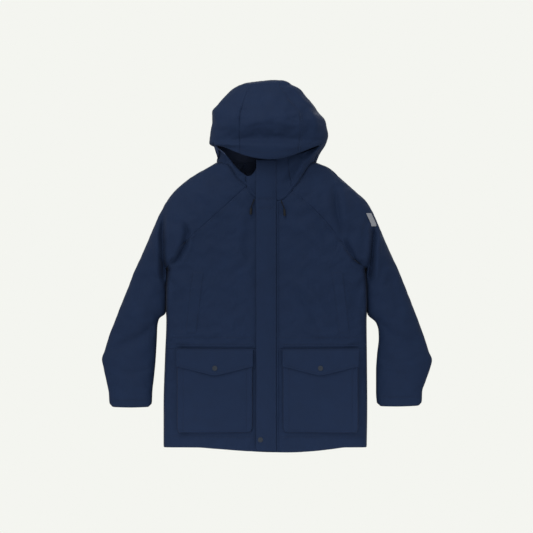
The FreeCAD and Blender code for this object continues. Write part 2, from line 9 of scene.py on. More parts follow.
# A foul weather jacket hanging upright. Lengths here are millimetres in the part's own frame:
# +X is the wearer's left, the front faces -Y, +Z is up. Meshes are written in metres.
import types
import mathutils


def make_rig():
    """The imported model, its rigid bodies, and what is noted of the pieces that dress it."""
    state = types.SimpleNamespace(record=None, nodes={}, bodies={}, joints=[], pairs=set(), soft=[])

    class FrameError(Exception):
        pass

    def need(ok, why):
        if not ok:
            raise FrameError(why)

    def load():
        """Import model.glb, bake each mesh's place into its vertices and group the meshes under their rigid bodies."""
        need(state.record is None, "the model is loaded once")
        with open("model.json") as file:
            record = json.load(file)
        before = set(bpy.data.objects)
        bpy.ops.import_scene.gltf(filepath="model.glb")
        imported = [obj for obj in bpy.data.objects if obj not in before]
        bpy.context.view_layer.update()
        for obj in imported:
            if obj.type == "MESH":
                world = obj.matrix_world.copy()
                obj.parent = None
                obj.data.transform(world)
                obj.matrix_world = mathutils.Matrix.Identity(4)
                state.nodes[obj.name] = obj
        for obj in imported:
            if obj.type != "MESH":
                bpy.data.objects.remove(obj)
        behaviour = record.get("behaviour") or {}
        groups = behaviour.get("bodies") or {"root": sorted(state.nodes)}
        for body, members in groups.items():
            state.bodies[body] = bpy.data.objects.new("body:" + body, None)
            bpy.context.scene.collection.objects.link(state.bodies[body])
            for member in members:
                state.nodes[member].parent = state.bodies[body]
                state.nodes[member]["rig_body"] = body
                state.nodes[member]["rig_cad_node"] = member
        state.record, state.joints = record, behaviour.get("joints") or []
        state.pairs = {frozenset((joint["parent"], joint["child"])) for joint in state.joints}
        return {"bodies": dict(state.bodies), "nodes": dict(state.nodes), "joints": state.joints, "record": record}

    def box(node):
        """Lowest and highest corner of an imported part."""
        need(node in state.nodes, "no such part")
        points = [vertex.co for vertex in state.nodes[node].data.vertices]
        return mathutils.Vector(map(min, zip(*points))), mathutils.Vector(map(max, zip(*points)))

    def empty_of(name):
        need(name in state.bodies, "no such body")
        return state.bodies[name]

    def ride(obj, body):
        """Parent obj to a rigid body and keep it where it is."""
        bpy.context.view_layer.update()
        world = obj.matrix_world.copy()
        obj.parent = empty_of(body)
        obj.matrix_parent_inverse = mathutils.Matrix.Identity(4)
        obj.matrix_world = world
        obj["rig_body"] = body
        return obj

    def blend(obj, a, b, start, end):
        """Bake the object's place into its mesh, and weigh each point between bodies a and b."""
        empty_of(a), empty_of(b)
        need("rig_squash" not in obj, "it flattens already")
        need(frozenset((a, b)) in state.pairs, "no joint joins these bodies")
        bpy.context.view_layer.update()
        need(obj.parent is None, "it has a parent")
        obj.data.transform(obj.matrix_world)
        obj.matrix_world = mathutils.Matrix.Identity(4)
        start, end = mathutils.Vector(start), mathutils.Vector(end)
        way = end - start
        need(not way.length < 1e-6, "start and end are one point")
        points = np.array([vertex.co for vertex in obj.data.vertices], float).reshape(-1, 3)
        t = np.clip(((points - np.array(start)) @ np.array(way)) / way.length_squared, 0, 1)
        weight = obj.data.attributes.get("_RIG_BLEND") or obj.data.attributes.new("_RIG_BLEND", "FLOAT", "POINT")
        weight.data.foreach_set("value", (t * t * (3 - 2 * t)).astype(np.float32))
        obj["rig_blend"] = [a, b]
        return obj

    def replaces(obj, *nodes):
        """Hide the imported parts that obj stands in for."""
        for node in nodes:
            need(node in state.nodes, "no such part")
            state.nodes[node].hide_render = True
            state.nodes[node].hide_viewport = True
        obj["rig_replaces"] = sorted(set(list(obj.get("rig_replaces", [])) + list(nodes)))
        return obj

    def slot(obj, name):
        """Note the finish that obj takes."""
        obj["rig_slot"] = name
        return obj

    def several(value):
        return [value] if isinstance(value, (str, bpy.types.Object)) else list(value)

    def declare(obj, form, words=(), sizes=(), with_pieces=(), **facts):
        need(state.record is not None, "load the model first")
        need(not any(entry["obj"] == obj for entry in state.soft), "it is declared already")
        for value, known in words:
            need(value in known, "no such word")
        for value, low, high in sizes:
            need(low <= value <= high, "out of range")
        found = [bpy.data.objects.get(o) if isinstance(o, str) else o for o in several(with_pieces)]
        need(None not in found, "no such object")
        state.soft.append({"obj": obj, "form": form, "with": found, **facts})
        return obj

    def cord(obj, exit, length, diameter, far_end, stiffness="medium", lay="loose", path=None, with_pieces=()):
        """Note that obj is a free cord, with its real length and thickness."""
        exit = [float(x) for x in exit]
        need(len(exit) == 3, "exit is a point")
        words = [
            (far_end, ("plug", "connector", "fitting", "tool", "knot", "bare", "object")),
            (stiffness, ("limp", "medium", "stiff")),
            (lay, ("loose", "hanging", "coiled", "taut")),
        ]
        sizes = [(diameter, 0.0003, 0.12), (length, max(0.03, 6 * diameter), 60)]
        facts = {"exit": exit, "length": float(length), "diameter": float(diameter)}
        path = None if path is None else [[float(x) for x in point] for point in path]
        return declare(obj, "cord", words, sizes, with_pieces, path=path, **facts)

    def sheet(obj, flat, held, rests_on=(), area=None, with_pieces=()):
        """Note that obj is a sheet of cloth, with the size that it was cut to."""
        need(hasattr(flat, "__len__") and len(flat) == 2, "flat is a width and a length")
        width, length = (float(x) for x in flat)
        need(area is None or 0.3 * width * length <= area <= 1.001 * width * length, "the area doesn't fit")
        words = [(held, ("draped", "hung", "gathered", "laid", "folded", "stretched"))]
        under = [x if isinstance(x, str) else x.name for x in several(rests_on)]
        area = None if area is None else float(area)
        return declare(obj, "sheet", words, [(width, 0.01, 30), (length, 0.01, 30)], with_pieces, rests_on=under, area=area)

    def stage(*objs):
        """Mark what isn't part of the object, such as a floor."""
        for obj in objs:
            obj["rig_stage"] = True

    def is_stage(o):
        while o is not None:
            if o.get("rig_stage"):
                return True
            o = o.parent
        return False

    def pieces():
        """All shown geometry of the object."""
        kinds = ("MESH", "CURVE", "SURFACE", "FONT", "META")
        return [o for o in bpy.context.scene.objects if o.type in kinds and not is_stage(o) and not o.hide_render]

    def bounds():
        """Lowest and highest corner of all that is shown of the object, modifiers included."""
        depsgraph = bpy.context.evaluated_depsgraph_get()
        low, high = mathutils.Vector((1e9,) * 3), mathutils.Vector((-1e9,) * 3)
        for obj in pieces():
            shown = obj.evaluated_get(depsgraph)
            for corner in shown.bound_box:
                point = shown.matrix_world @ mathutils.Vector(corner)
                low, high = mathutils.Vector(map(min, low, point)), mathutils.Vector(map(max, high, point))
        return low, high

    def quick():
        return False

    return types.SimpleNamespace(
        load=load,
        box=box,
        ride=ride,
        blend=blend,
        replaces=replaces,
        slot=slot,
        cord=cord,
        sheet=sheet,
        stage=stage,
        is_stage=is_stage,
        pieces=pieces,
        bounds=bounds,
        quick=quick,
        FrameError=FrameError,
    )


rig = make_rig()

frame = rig.load()
cad_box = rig.bounds()
MM = 0.001

# ---- driving sizes, read from the frame where it has them ----
HEM_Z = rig.box("storm_flap")[0].z / MM - 2.0
WAIST_Z = -533.0
UNDERARM_Z = -300.0
FRONT_Y = -120.0
MID_Y = -49.0                       # halfway between front and back
CLOTH_T, INNER_T = 1.3, 0.8         # thickness of the outer cloth, and of linings and facings
SIDES = ((-1, "right"), (1, "left"))
POCKET_SPAN = {-1: (-258.0, -40.0), 1: (48.0, 266.0)}
POCKET_LOW, POCKET_TOP, POCKET_SEAM = -775.0, -541.0, -526      # foot, mouth, flap's seam
BODY_MIDDLE = (0, MID_Y, -420)
CHEST_MIDDLE = (0, MID_Y, -400)
# columns and rows of the cloth grids
N_RAGLAN = 50
N_NECK = 9
N_BACK_NECK = 10
N_UPPER = 58
N_SKIRT = 42
N_ROUND = 45
N_ARM = 64


# ---- small tools ----
def smooth(t):
    t = np.clip(t, 0.0, 1.0)
    return t * t * (3 - 2 * t)


def spline(x, xs, ys):
    """A smooth curve through (xs, ys), without overshoot, at x."""
    xs, ys = np.asarray(xs, float), np.asarray(ys, float)
    if xs[0] > xs[-1]:
        xs, ys = xs[::-1], ys[::-1]
    d = np.diff(ys) / np.diff(xs)
    m = np.zeros_like(ys)
    m[1:-1] = np.where(d[:-1] * d[1:] > 0, 2 * d[:-1] * d[1:] / (d[:-1] + d[1:] + 1e-12), 0)
    m[0], m[-1] = d[0], d[-1]
    x = np.clip(x, xs[0], xs[-1])
    k = np.clip(np.searchsorted(xs, x) - 1, 0, len(d) - 1)
    h = xs[k + 1] - xs[k]
    t = (x - xs[k]) / h
    a, b = ys[k], ys[k + 1]
    return (
        (2 * t**3 - 3 * t**2 + 1) * a + (t**3 - 2 * t**2 + t) * h * m[k]
        + (-2 * t**3 + 3 * t**2) * b + (t**3 - t**2) * h * m[k + 1]
    )


def along(points, n, ease=None):
    """n points spread evenly by length along a rounded path through points."""
    p = np.asarray(points, float)
    length = np.concatenate([[0], np.cumsum(np.linalg.norm(np.diff(p, axis=0), axis=1))])
    fine = np.linspace(0, length[-1], 400)
    q = np.stack([spline(fine, length, p[:, k]) for k in range(p.shape[1])], 1)
    run = np.concatenate([[0], np.cumsum(np.linalg.norm(np.diff(q, axis=0), axis=1))])
    t = np.linspace(0, 1, n)
    if ease is not None:
        t = ease(t)
    return np.stack([np.interp(t * run[-1], run, q[:, k]) for k in range(q.shape[1])], 1)


def waves(x, z, seed, wavelength, count=7):
    """A smooth random field of about the given wavelength, from -1 to 1."""
    rng = np.random.default_rng(seed)
    total = 0
    for _ in range(count):
        angle = rng.uniform(0, 2 * math.pi)
        k = 2 * math.pi / (wavelength * rng.uniform(0.7, 1.5))
        total = total + np.sin(k * (x * math.cos(angle) + z * math.sin(angle)) + rng.uniform(0, 6.3))
    return total / math.sqrt(count * 2.0)


def mesh_object(name, verts, faces, material, smooth_faces=True):
    mesh = bpy.data.meshes.new(name)
    mesh.from_pydata((np.asarray(verts, float) * MM).tolist(), [], faces)
    mesh.validate()
    for m in material if isinstance(material, (list, tuple)) else [material]:
        mesh.materials.append(m)
    if smooth_faces:
        mesh.polygons.foreach_set("use_smooth", [True] * len(mesh.polygons))
    obj = bpy.data.objects.new(name, mesh)
    bpy.context.scene.collection.objects.link(obj)
    return obj


# where the cloth that crosses a joint starts and ends its turn, in metres
BENDS = {"hood": dict(start=(0, -0.0099, 0.0373), end=(0, -0.0694, 0.1114))}
for side, name in SIDES:
    BENDS[name + "_sleeve"] = dict(start=(side * 0.291, -0.05, -0.296), end=(side * 0.535, -0.05, -0.587))


def place(obj, body, slot=None, *nodes):
    """Rides obj on a body, or bends it from the torso to one, and says which nodes it stands for."""
    if body in BENDS:
        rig.blend(obj, "torso", body, **BENDS[body])
    else:
        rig.ride(obj, body)
    if nodes:
        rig.replaces(obj, *nodes)
        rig.slot(obj, slot)
    return obj


def grid_faces(rows, cols, closed=False, flip=False):
    faces = []
    for r in range(rows - 1):
        for c in range(cols if closed else cols - 1):
            d = (c + 1) % cols
            quad = [r * cols + c, r * cols + d, (r + 1) * cols + d, (r + 1) * cols + c]
            faces.append(quad[::-1] if flip else quad)
    return faces


def path_distance(x, z, path):
    """Distance of each (x, z) from a polyline, and how far along it the nearest point is."""
    best = np.full(np.shape(x), 1e9)
    share = np.zeros(np.shape(x))
    p = np.asarray(path, float)
    for k in range(len(p) - 1):
        a, b = p[k], p[k + 1]
        d = b - a
        t = np.clip(((x - a[0]) * d[0] + (z - a[1]) * d[1]) / (d @ d), 0, 1)
        dist = np.hypot(x - a[0] - t * d[0], z - a[1] - t * d[1])
        closer = dist < best
        best = np.where(closer, dist, best)
        share = np.where(closer, (k + t) / (len(p) - 1), share)
    return best, share


def crease(x, z, path, width, depth):
    """A soft valley (depth above 0) or ridge along a path, fading at both ends."""
    dist, share = path_distance(x, z, path)
    fade = smooth(share / 0.25) * smooth((1 - share) / 0.25)
    side = np.exp(-((dist / width) ** 2)) - 0.35 * np.exp(-(((dist - 2.1 * width) / width) ** 2))
    return -depth * fade * side


# ---- the body's shape ----
SECTION_POWER = 5.0
_c = np.linspace(0, math.pi / 2, 900)
_sx = np.sin(_c) ** (2 / SECTION_POWER)
_sy = np.cos(_c) ** (2 / SECTION_POWER)
_run = np.concatenate([[0], np.cumsum(np.hypot(np.diff(_sx) * 290, np.diff(_sy) * 70))])
_q = _run / _run[-1]


def half_width(z, side):
    """Half width of the body, and of the shoulders above the underarm."""
    right, left = [299, 299, 295, 291, 294, 295, 290], [292, 294, 293, 292, 295, 296, 291]
    low = spline(z, [-840, -700, -560, -450, -400, -350, -300], right if side < 0 else left)
    high = spline(z, [-300, -264, -218, -171, -125, -95, -55, -20, 12],
                  [290, 322, 340, 323, 304, 284, 244, 200, 152])
    return np.where(z < UNDERARM_Z, low, high)


def hem_drop(x):
    """How far the hem hangs below its ends at x."""
    return spline(x, [-300, -205, -150, -82, -25, 26, 60, 91, 141, 190, 232, 300],
                  [0, 0, 4.5, 11, 15.5, 17.2, 17.6, 16.8, 12.8, 6, 0, 0])


def front_depth(z):
    top = spline(z, [-140, -98, -55, -20, 12], [-FRONT_Y, 118.5, 115, 108, 96])
    return np.where(z < -140, -FRONT_Y, top) + MID_Y


def back_depth(z):
    return spline(z, [-840, -500, -160, -60, 12], [68, 70, 71, 69, 65])


def on_body(q, z, side, front):
    """The body's surface: q runs from 0 at the centre to 1 at the side."""
    w = half_width(z, side)
    d = front_depth(z) if front else back_depth(z)
    x = side * w * np.interp(q, _q, _sx)
    y = MID_Y + (-1 if front else 1) * d * np.interp(q, _q, _sy)
    return np.stack([x, y, z], -1)


def q_of(x, z, side):
    return np.interp(np.clip(np.abs(x) / half_width(z, side), 0, 1), _sx, _q)


# Raglan seams in front, as (distance from the centre, height), right then left.
RAGLAN_FRONT = {
    -1: [(58, -62), (100, -101), (165, -160), (223, -213), (262, -256), (289.0, -300)],
    1: [(75, -74), (106, -100), (169, -161), (216, -222), (250, -268), (290.0, -300)],
}
RAGLAN_BACK = [(60, 9), (96, -52), (150, -130), (210, -208), (258, -268), (289.5, -300)]
# The V neckline in front, from the front edge to the raglan seam, and on to the shoulder's top.
NECK_FRONT = {
    -1: [(8, -99), (30, -98), (43, -87), (58, -62)],
    1: [(14, -105), (44, -104), (60, -93), (75, -74)],
}
NECK_SIDE = {
    -1: [(58, -62), (73, -50), (88, -34), (103, -9), (120, 4), (142, 9)],
    1: [(75, -74), (93, -51), (108, -26), (121, -5), (131, 6), (142, 9)],
}
CENTRE = {-1: 8.0, 1: 14.0}        # the front edges stop at the zip


def raglan_points(side, front):
    path = RAGLAN_FRONT[side] if front else RAGLAN_BACK
    pts = along(path, N_RAGLAN)
    q = q_of(pts[:, 0], pts[:, 1], side)
    q[-1] = 1.0
    return on_body(q, pts[:, 1], side, front), q, pts[:, 1]


def body_grids():
    """The torso as grids of points: name to (rows, cols, 3)."""
    grids = {}
    rows_up = np.linspace(0, 1, N_UPPER)[:, None]
    for side, name in SIDES:
        _, q_rag, z_rag = raglan_points(side, True)
        neck = along(NECK_FRONT[side], N_NECK)
        q_neck = q_of(neck[:, 0], neck[:, 1], side)
        q_top = np.concatenate([q_neck[:-1], q_rag])
        z_top = np.concatenate([neck[:-1, 1], z_rag])
        q_low = q_of(CENTRE[side], WAIST_Z, side)
        share = np.linspace(0, 1, len(q_top))
        q_waist = q_low + (1 - q_low) * (0.35 * share + 0.65 * (q_top - q_top[0]) / (1 - q_top[0]))
        q = q_waist + (q_top - q_waist) * smooth(rows_up)
        z = WAIST_Z + (z_top - WAIST_Z) * rows_up
        grids[name + "_front_panel"] = on_body(q, z, side, True)
        rows = np.linspace(0, 1, N_SKIRT)[:, None]
        corner = 5 * smooth((q_waist - 0.93) / 0.07)
        low = HEM_Z + corner - 0.8 * hem_drop(side * half_width(HEM_Z, side) * np.interp(q_waist, _q, _sx))
        z = low + (WAIST_Z - low) * rows
        grids[name + "_front_skirt"] = on_body(q_waist + 0 * rows, z, side, True)
        _, q_rag, z_rag = raglan_points(side, False)
        q_neck = np.linspace(0, q_rag[0], N_BACK_NECK)
        q_top = np.concatenate([q_neck[:-1], q_rag])
        z_top = np.concatenate([np.full(N_BACK_NECK - 1, z_rag[0]), z_rag])
        share = np.linspace(0, 1, len(q_top))
        q_waist = 0.3 * share + 0.7 * q_top
        sag = hem_drop(side * half_width(HEM_Z, side) * np.interp(q_waist, _q, _sx))
        low = HEM_Z - sag + 5 * smooth((q_waist - 0.93) / 0.07)
        q_up = q_waist + (q_top - q_waist) * smooth(rows_up)
        z_up = WAIST_Z + (z_top - WAIST_Z) * rows_up
        z_low = low + (WAIST_Z - low) * rows
        q_all = np.concatenate([q_waist + 0 * rows[:-1], q_up])
        z_all = np.concatenate([z_low[:-1], z_up])
        grids[name + "_back_half"] = on_body(q_all, z_all, side, False)
    return grids


# ---- the sleeves' shape ----
OUTER = {
    -1: [(142, 9), (177, -11), (213, -32), (244, -55), (268, -78), (287, -102), (302, -128), (323, -171),
         (343, -218), (363, -264), (384, -310), (402, -357), (421, -403), (439, -450), (457, -497),
         (470.5, -541), (477.5, -563), (473.5, -586), (464.5, -628), (458, -660), (455.5, -701)],
    1: [(142, 9), (183, -9), (209, -32), (236, -56), (262, -79), (288, -103), (305, -129), (325, -172),
        (345, -219), (365, -264), (386, -310), (405, -357), (423, -403), (441, -450), (458, -497),
        (473, -543), (481.5, -566), (476, -589), (462, -630), (453, -660), (452, -697)],
}
INNER = {
    -1: [(290, -300), (287, -314), (288, -345), (290, -408), (292, -430), (311, -447),
         (316, -472), (317, -499), (321, -569), (326, -620), (330, -655), (332, -701)],
    1: [(291, -300), (288, -314), (289, -345), (291, -408), (293, -432), (318, -458),
        (325, -480), (326, -502), (321, -550), (318, -600), (318, -658), (321, -699)],
}
HEAD_SHARE = 0.372                  # share of the outer edge's length that belongs to the head


def neck_tube(x):
    """Front y of the standing neck at x."""
    s = np.clip(np.abs(x) / 144.0, 0, 1)
    return -51.5 - 66.5 * (1 - s**3) ** (1 / 3)


def sleeve_grids(side):
    outer = np.asarray(OUTER[side], float)
    full = along(outer, 401)
    cut = int(400 * HEAD_SHARE)
    top = along(full[: cut + 1], N_RAGLAN)
    front, _, _ = raglan_points(side, True)
    back, _, _ = raglan_points(side, False)
    half = N_ROUND // 2
    c = np.linspace(0, 1, half + 1)
    top3 = np.stack([side * top[:, 0], np.full(N_RAGLAN, MID_Y), top[:, 1]], 1)
    r = np.linspace(0, 1, N_RAGLAN)[:, None]
    bulge = smooth((r - 0.72) / 0.28)
    sweep = np.sin(c * math.pi / 2)[None, :]
    turn = (1 - np.cos(c * math.pi / 2))[None, :]
    ring = np.zeros((N_RAGLAN, N_ROUND, 3))
    for sign, edge, where in ((-1, front, slice(0, half + 1)), (1, back, slice(half, N_ROUND))):
        cc, gg, hh = (c, sweep, turn) if sign < 0 else (c[::-1], sweep[:, ::-1], turn[:, ::-1])
        flat = edge[:, None, :] + (top3 - edge)[:, None, :] * gg[..., None]
        y_arch = edge[:, 1:2] + (top3 - edge)[:, 1:2] * hh
        round_x = (1 - np.cos(math.pi * cc))[None, :] / 2
        ring_xz = edge[:, None, :] + (top3 - edge)[:, None, :] * round_x[..., None]
        depth = 60.0 - 3.0 * r
        from_edge = np.abs(edge[:, 1:2] - MID_Y) * np.abs(np.cos(math.pi * cc / 2))[None, :]
        round_y = depth * np.sin(math.pi * cc)[None, :] ** 0.8
        y_ring = MID_Y + sign * (from_edge**4 + round_y**4) ** 0.25
        point = flat * (1 - bulge[..., None]) + ring_xz * bulge[..., None]
        point[..., 1] = y_arch * (1 - bulge) + y_ring * bulge
        ring[:, where] = point
    # the first ring is the neck seam, which stands on the neck's own outline
    line = along(NECK_SIDE[side], half + 1)
    seam = ring[0].copy()
    seam[: half + 1, 0] = side * line[:, 0]
    seam[: half + 1, 2] = line[:, 1]
    seam[1 : half + 1, 1] = neck_tube(line[1:, 0])
    fade = smooth(1 - np.linspace(0, 1, N_RAGLAN) * 4.0)[:, None, None]
    ring = ring + (seam - ring[0])[None] * fade
    # the arm, closed rings from the underarm to the cuff
    out_line = along(full[cut:], N_ARM)
    in_line = along(INNER[side], N_ARM)
    t = np.linspace(0, 1, N_ARM)
    depth = spline(t, [0, 0.25, 0.55, 0.8, 1], [57, 46, 40, 35, 31])
    middle = MID_Y - 3 * smooth(t)
    power = spline(t, [0, 0.3, 1], [0.8, 0.74, 0.62])
    angle = np.concatenate([np.linspace(0, 1, half + 1), np.linspace(1, 0, half + 1)[1:]])
    sign = np.concatenate([-np.ones(half + 1), np.ones(half)])
    share = (1 - np.cos(math.pi * angle)) / 2
    arm = np.zeros((N_ARM, N_ROUND, 3))
    xz = in_line[:, None, :] + (out_line - in_line)[:, None, :] * share[None, :, None]
    arm[..., 0] = side * xz[..., 0]
    arm[..., 2] = xz[..., 1]
    arm[..., 1] = middle[:, None] + sign * depth[:, None] * np.sin(math.pi * angle)[None, :] ** power[:, None]
    # the cuff's ends are rounded off and its edge sags a little in between
    corner = smooth(1 - np.minimum(share, 1 - share) / 0.09)
    near_end = smooth((t - 0.975) / 0.025)[:, None]
    arm[..., 2] += near_end * (6.0 * corner - 2.2 * np.sin(math.pi * share))[None, :]
    arm[..., 0] -= side * near_end * 2.0 * (corner * np.sign(share - 0.5))[None, :]
    return np.concatenate([ring, arm[1:]])


# ---- the hood's shape ----
HOOD_Z = [2, 12, 25, 38, 50, 59, 84, 107, 130, 154, 177, 200, 223, 232]
HOOD_RIGHT = [143, 144, 141, 140, 144, 166, 163, 160, 157, 157, 140, 120, 94, 78]
HOOD_LEFT = [144, 147, 152, 159, 167, 172, 179, 176, 170, 151, 135, 115, 95, 76]
HOOD_FRONT = ([12, 30, 50, 60, 67, 73, 95, 118, 138, 160, 195, 223, 232],
              [155, 160, 161, 159, 154, 149.5, 154, 159.5, 156.5, 143, 119, 93, 83])
HOOD_BACK = ([2, 12, 38, 61, 100, 150, 195, 223, 232], [11, 13, 16, 20, 22, 18, 1, -22, -31])
HOOD_MIDDLE = ([12, 59, 107, 154, 200, 232], [-52, -72, -70, -64, -60, -57])
HOOD_POWER = 2.35
HOOD_ROWS = (13, 26)                # below and above the crease over the peak
HOOD_SIDE_COLS = 12
HOOD_MID_COLS = 26
CAP_ROWS = 11
CAP_Z = 232.0
CREASE_Z = 72.0
PEAK_HALF = 158.0


def peak_edge(x):
    """Height of the peak's lower edge at x."""
    return 15.0 + 44.0 * (np.abs(x) / PEAK_HALF) ** 1.85


def hood_span(z):
    """The hood's middle and half width at height z."""
    left, right = spline(z, HOOD_Z, HOOD_LEFT), spline(z, HOOD_Z, HOOD_RIGHT)
    return (left - right) / 2, (left + right) / 2


def hood_point(phi, z, front):
    """A point of the hood's surface: phi turns from the right side through the middle to the left."""
    mid, half = hood_span(z)
    s, c = np.sin(phi), np.cos(phi)
    power = 2 / HOOD_POWER
    x = mid + half * np.sign(s) * np.abs(s) ** power
    middle = spline(z, *HOOD_MIDDLE)
    if front:
        drawn_in = smooth((np.abs(x - mid) / half - 0.78) / 0.14) * smooth((46 - z) / 34)
        reach = (spline(z, *HOOD_FRONT) + middle) * (1 - 0.34 * drawn_in)
        y = middle - reach * np.abs(c) ** power
    else:
        reach = spline(z, *HOOD_BACK) - middle
        y = middle + reach * np.abs(c) ** power
    return np.stack([x, y, z + 0 * x], -1)


def hood_angle(x, z):
    """The angle that hood_point() puts at x."""
    mid, half = hood_span(z)
    s = np.clip((x - mid) / half, -1, 1)
    return np.arcsin(np.sign(s) * np.abs(s) ** (HOOD_POWER / 2))


def hood_seams(z, front):
    """x of the right and left edges of the hood's centre panel at height z."""
    if front:
        return (spline(z, [15, 107, 130, 160, 200, 232], [-76, -76, -76, -72, -60, -46]),
                spline(z, [15, 64, 105, 144, 186, 232], [92, 96, 101, 99, 68, 38]))
    return (spline(z, [12, 100, 200, 232], [-60, -78, -64, -46]),
            spline(z, [12, 100, 200, 232], [60, 80, 62, 38]))


def hood_angles(z, front):
    """Column angles at one height: side columns, then the centre panel, then the other side."""
    right, left = hood_seams(z, front)
    a, b = hood_angle(right, z), hood_angle(left, z)
    return np.concatenate([
        np.linspace(-math.pi / 2, a, HOOD_SIDE_COLS, endpoint=False),
        np.linspace(a, b, HOOD_MID_COLS, endpoint=False),
        np.linspace(b, math.pi / 2, HOOD_SIDE_COLS + 1),
    ])


def hood_grid():
    """The whole hood as one grid: up the front, over the crown, down the back."""
    low_rows, high_rows = HOOD_ROWS
    cols = 2 * HOOD_SIDE_COLS + HOOD_MID_COLS + 1
    halves = []
    for front in (True, False):
        phi = hood_angles(40.0, front)
        low = np.full(cols, 2.0)
        if front:
            x59 = np.abs(hood_point(phi, np.full(cols, 59.0), True)[:, 0])
            low = np.where(x59 < PEAK_HALF, peak_edge(x59), 59 - 57 * smooth((x59 - PEAK_HALF) / 5))
        grid = np.zeros((low_rows + high_rows + 1, cols, 3))
        for r in range(low_rows + high_rows + 1):
            if r <= low_rows:
                z = low + (CREASE_Z - low) * r / low_rows
            else:
                z = np.full(cols, CREASE_Z + (CAP_Z - CREASE_Z) * (r - low_rows) / high_rows)
            angles = np.array([hood_angles(z[c], front)[c] for c in range(cols)])
            grid[r] = hood_point(angles, z, front)
        halves.append(grid)
    front, back = halves
    u = np.linspace(0, 1, CAP_ROWS + 2)[1:-1, None]
    a, b = front[-1], back[-1]
    cap = a[None] * (1 - u[..., None]) + b[None] * u[..., None]
    crest = spline(a[:, 0], [-78, -60, -30, 0, 16, 43, 60, 76], [0, 0.42, 0.72, 0.92, 1, 0.98, 0.72, 0])
    cap[..., 2] += 15.0 * np.sin(math.pi * u) ** 0.8 * crest[None]
    return np.concatenate([front, cap, back[::-1]])


def wing_grid(side, seam, hood, rows=15):
    """The hood's lower front: from the V neckline up to the face opening, and round to the hood's side."""
    n = len(seam)
    c = np.linspace(0, 1, n)
    if side < 0:
        top_x = spline(c, [0, 0.2, 0.45, 0.7, 0.86, 1], [60, 80, 99, 116, 129, 138])
        top_z = spline(c, [0, 0.2, 0.45, 0.7, 0.86, 1], [-31, -14, 8, 34, 47, 54])
    else:
        top_x = spline(c, [0, 0.3, 0.6, 0.85, 1], [60, 94, 124, 146, 156])
        top_z = spline(c, [0, 0.3, 0.6, 0.85, 1], [26, 33, 42, 52, 58])
    top_y = spline(c, [0, 0.45, 0.8, 1], [-117.5, -113, -99, -84])
    top = np.stack([side * top_x, top_y, top_z], 1)
    t = np.linspace(0, 1, rows)[:, None, None]
    grid = seam[None] * (1 - t) + top[None] * t
    grid[..., 1] -= 7 * np.sin(math.pi * t[..., 0]) * np.sin(math.pi * np.clip(c, 0.0, 1.0))[None] ** 0.7
    # the last column lies on the front edge of the hood's side
    low = hood[0, :, 2] < 3
    col = int(np.nonzero(~low)[0][0] if side < 0 else np.nonzero(~low)[0][-1]) + side
    edge = hood[: HOOD_ROWS[0] + 1, col]
    z = seam[-1, 2] + (62.0 - seam[-1, 2]) * t[:, 0, 0]
    on_edge = np.stack([np.interp(z, edge[:, 2], edge[:, k]) for k in range(3)], 1)
    on_edge = seam[-1] + (on_edge - seam[-1]) * smooth(t[:, 0] / 0.4)
    return grid + (on_edge - grid[:, -1])[:, None] * smooth((c - 0.5) / 0.5)[None, :, None]


def chin_grid(side, seam, wing_edge, rows=15):
    """The front of the collar between the zip and the hood's lower front."""
    c = np.linspace(0, 1, len(seam))
    t = np.linspace(0, 1, rows)[:, None]
    if side < 0:
        top = spline(c, [0, 0.35, 0.6, 0.8, 1], [8, -6, -27, -33, -31])
    else:
        top = 24 + 2 * c
    inner = CENTRE[side]
    x = side * (np.abs(seam[:, 0])[None] * (1 - t) + (inner + (60 - inner) * c)[None] * t)
    z = seam[:, 2][None] * (1 - t) + top[None] * t
    bulge = (1 - c**4)[None] * (3.5 * smooth(1.6 * t) * t + 3.0 * np.sin(math.pi * t))
    y = seam[:, 1][None] * (1 - t) - 118.0 * t - bulge
    y = y + 0 * z
    grid = np.stack([x, y, z], -1)
    grid[:, -1] = wing_edge
    return grid


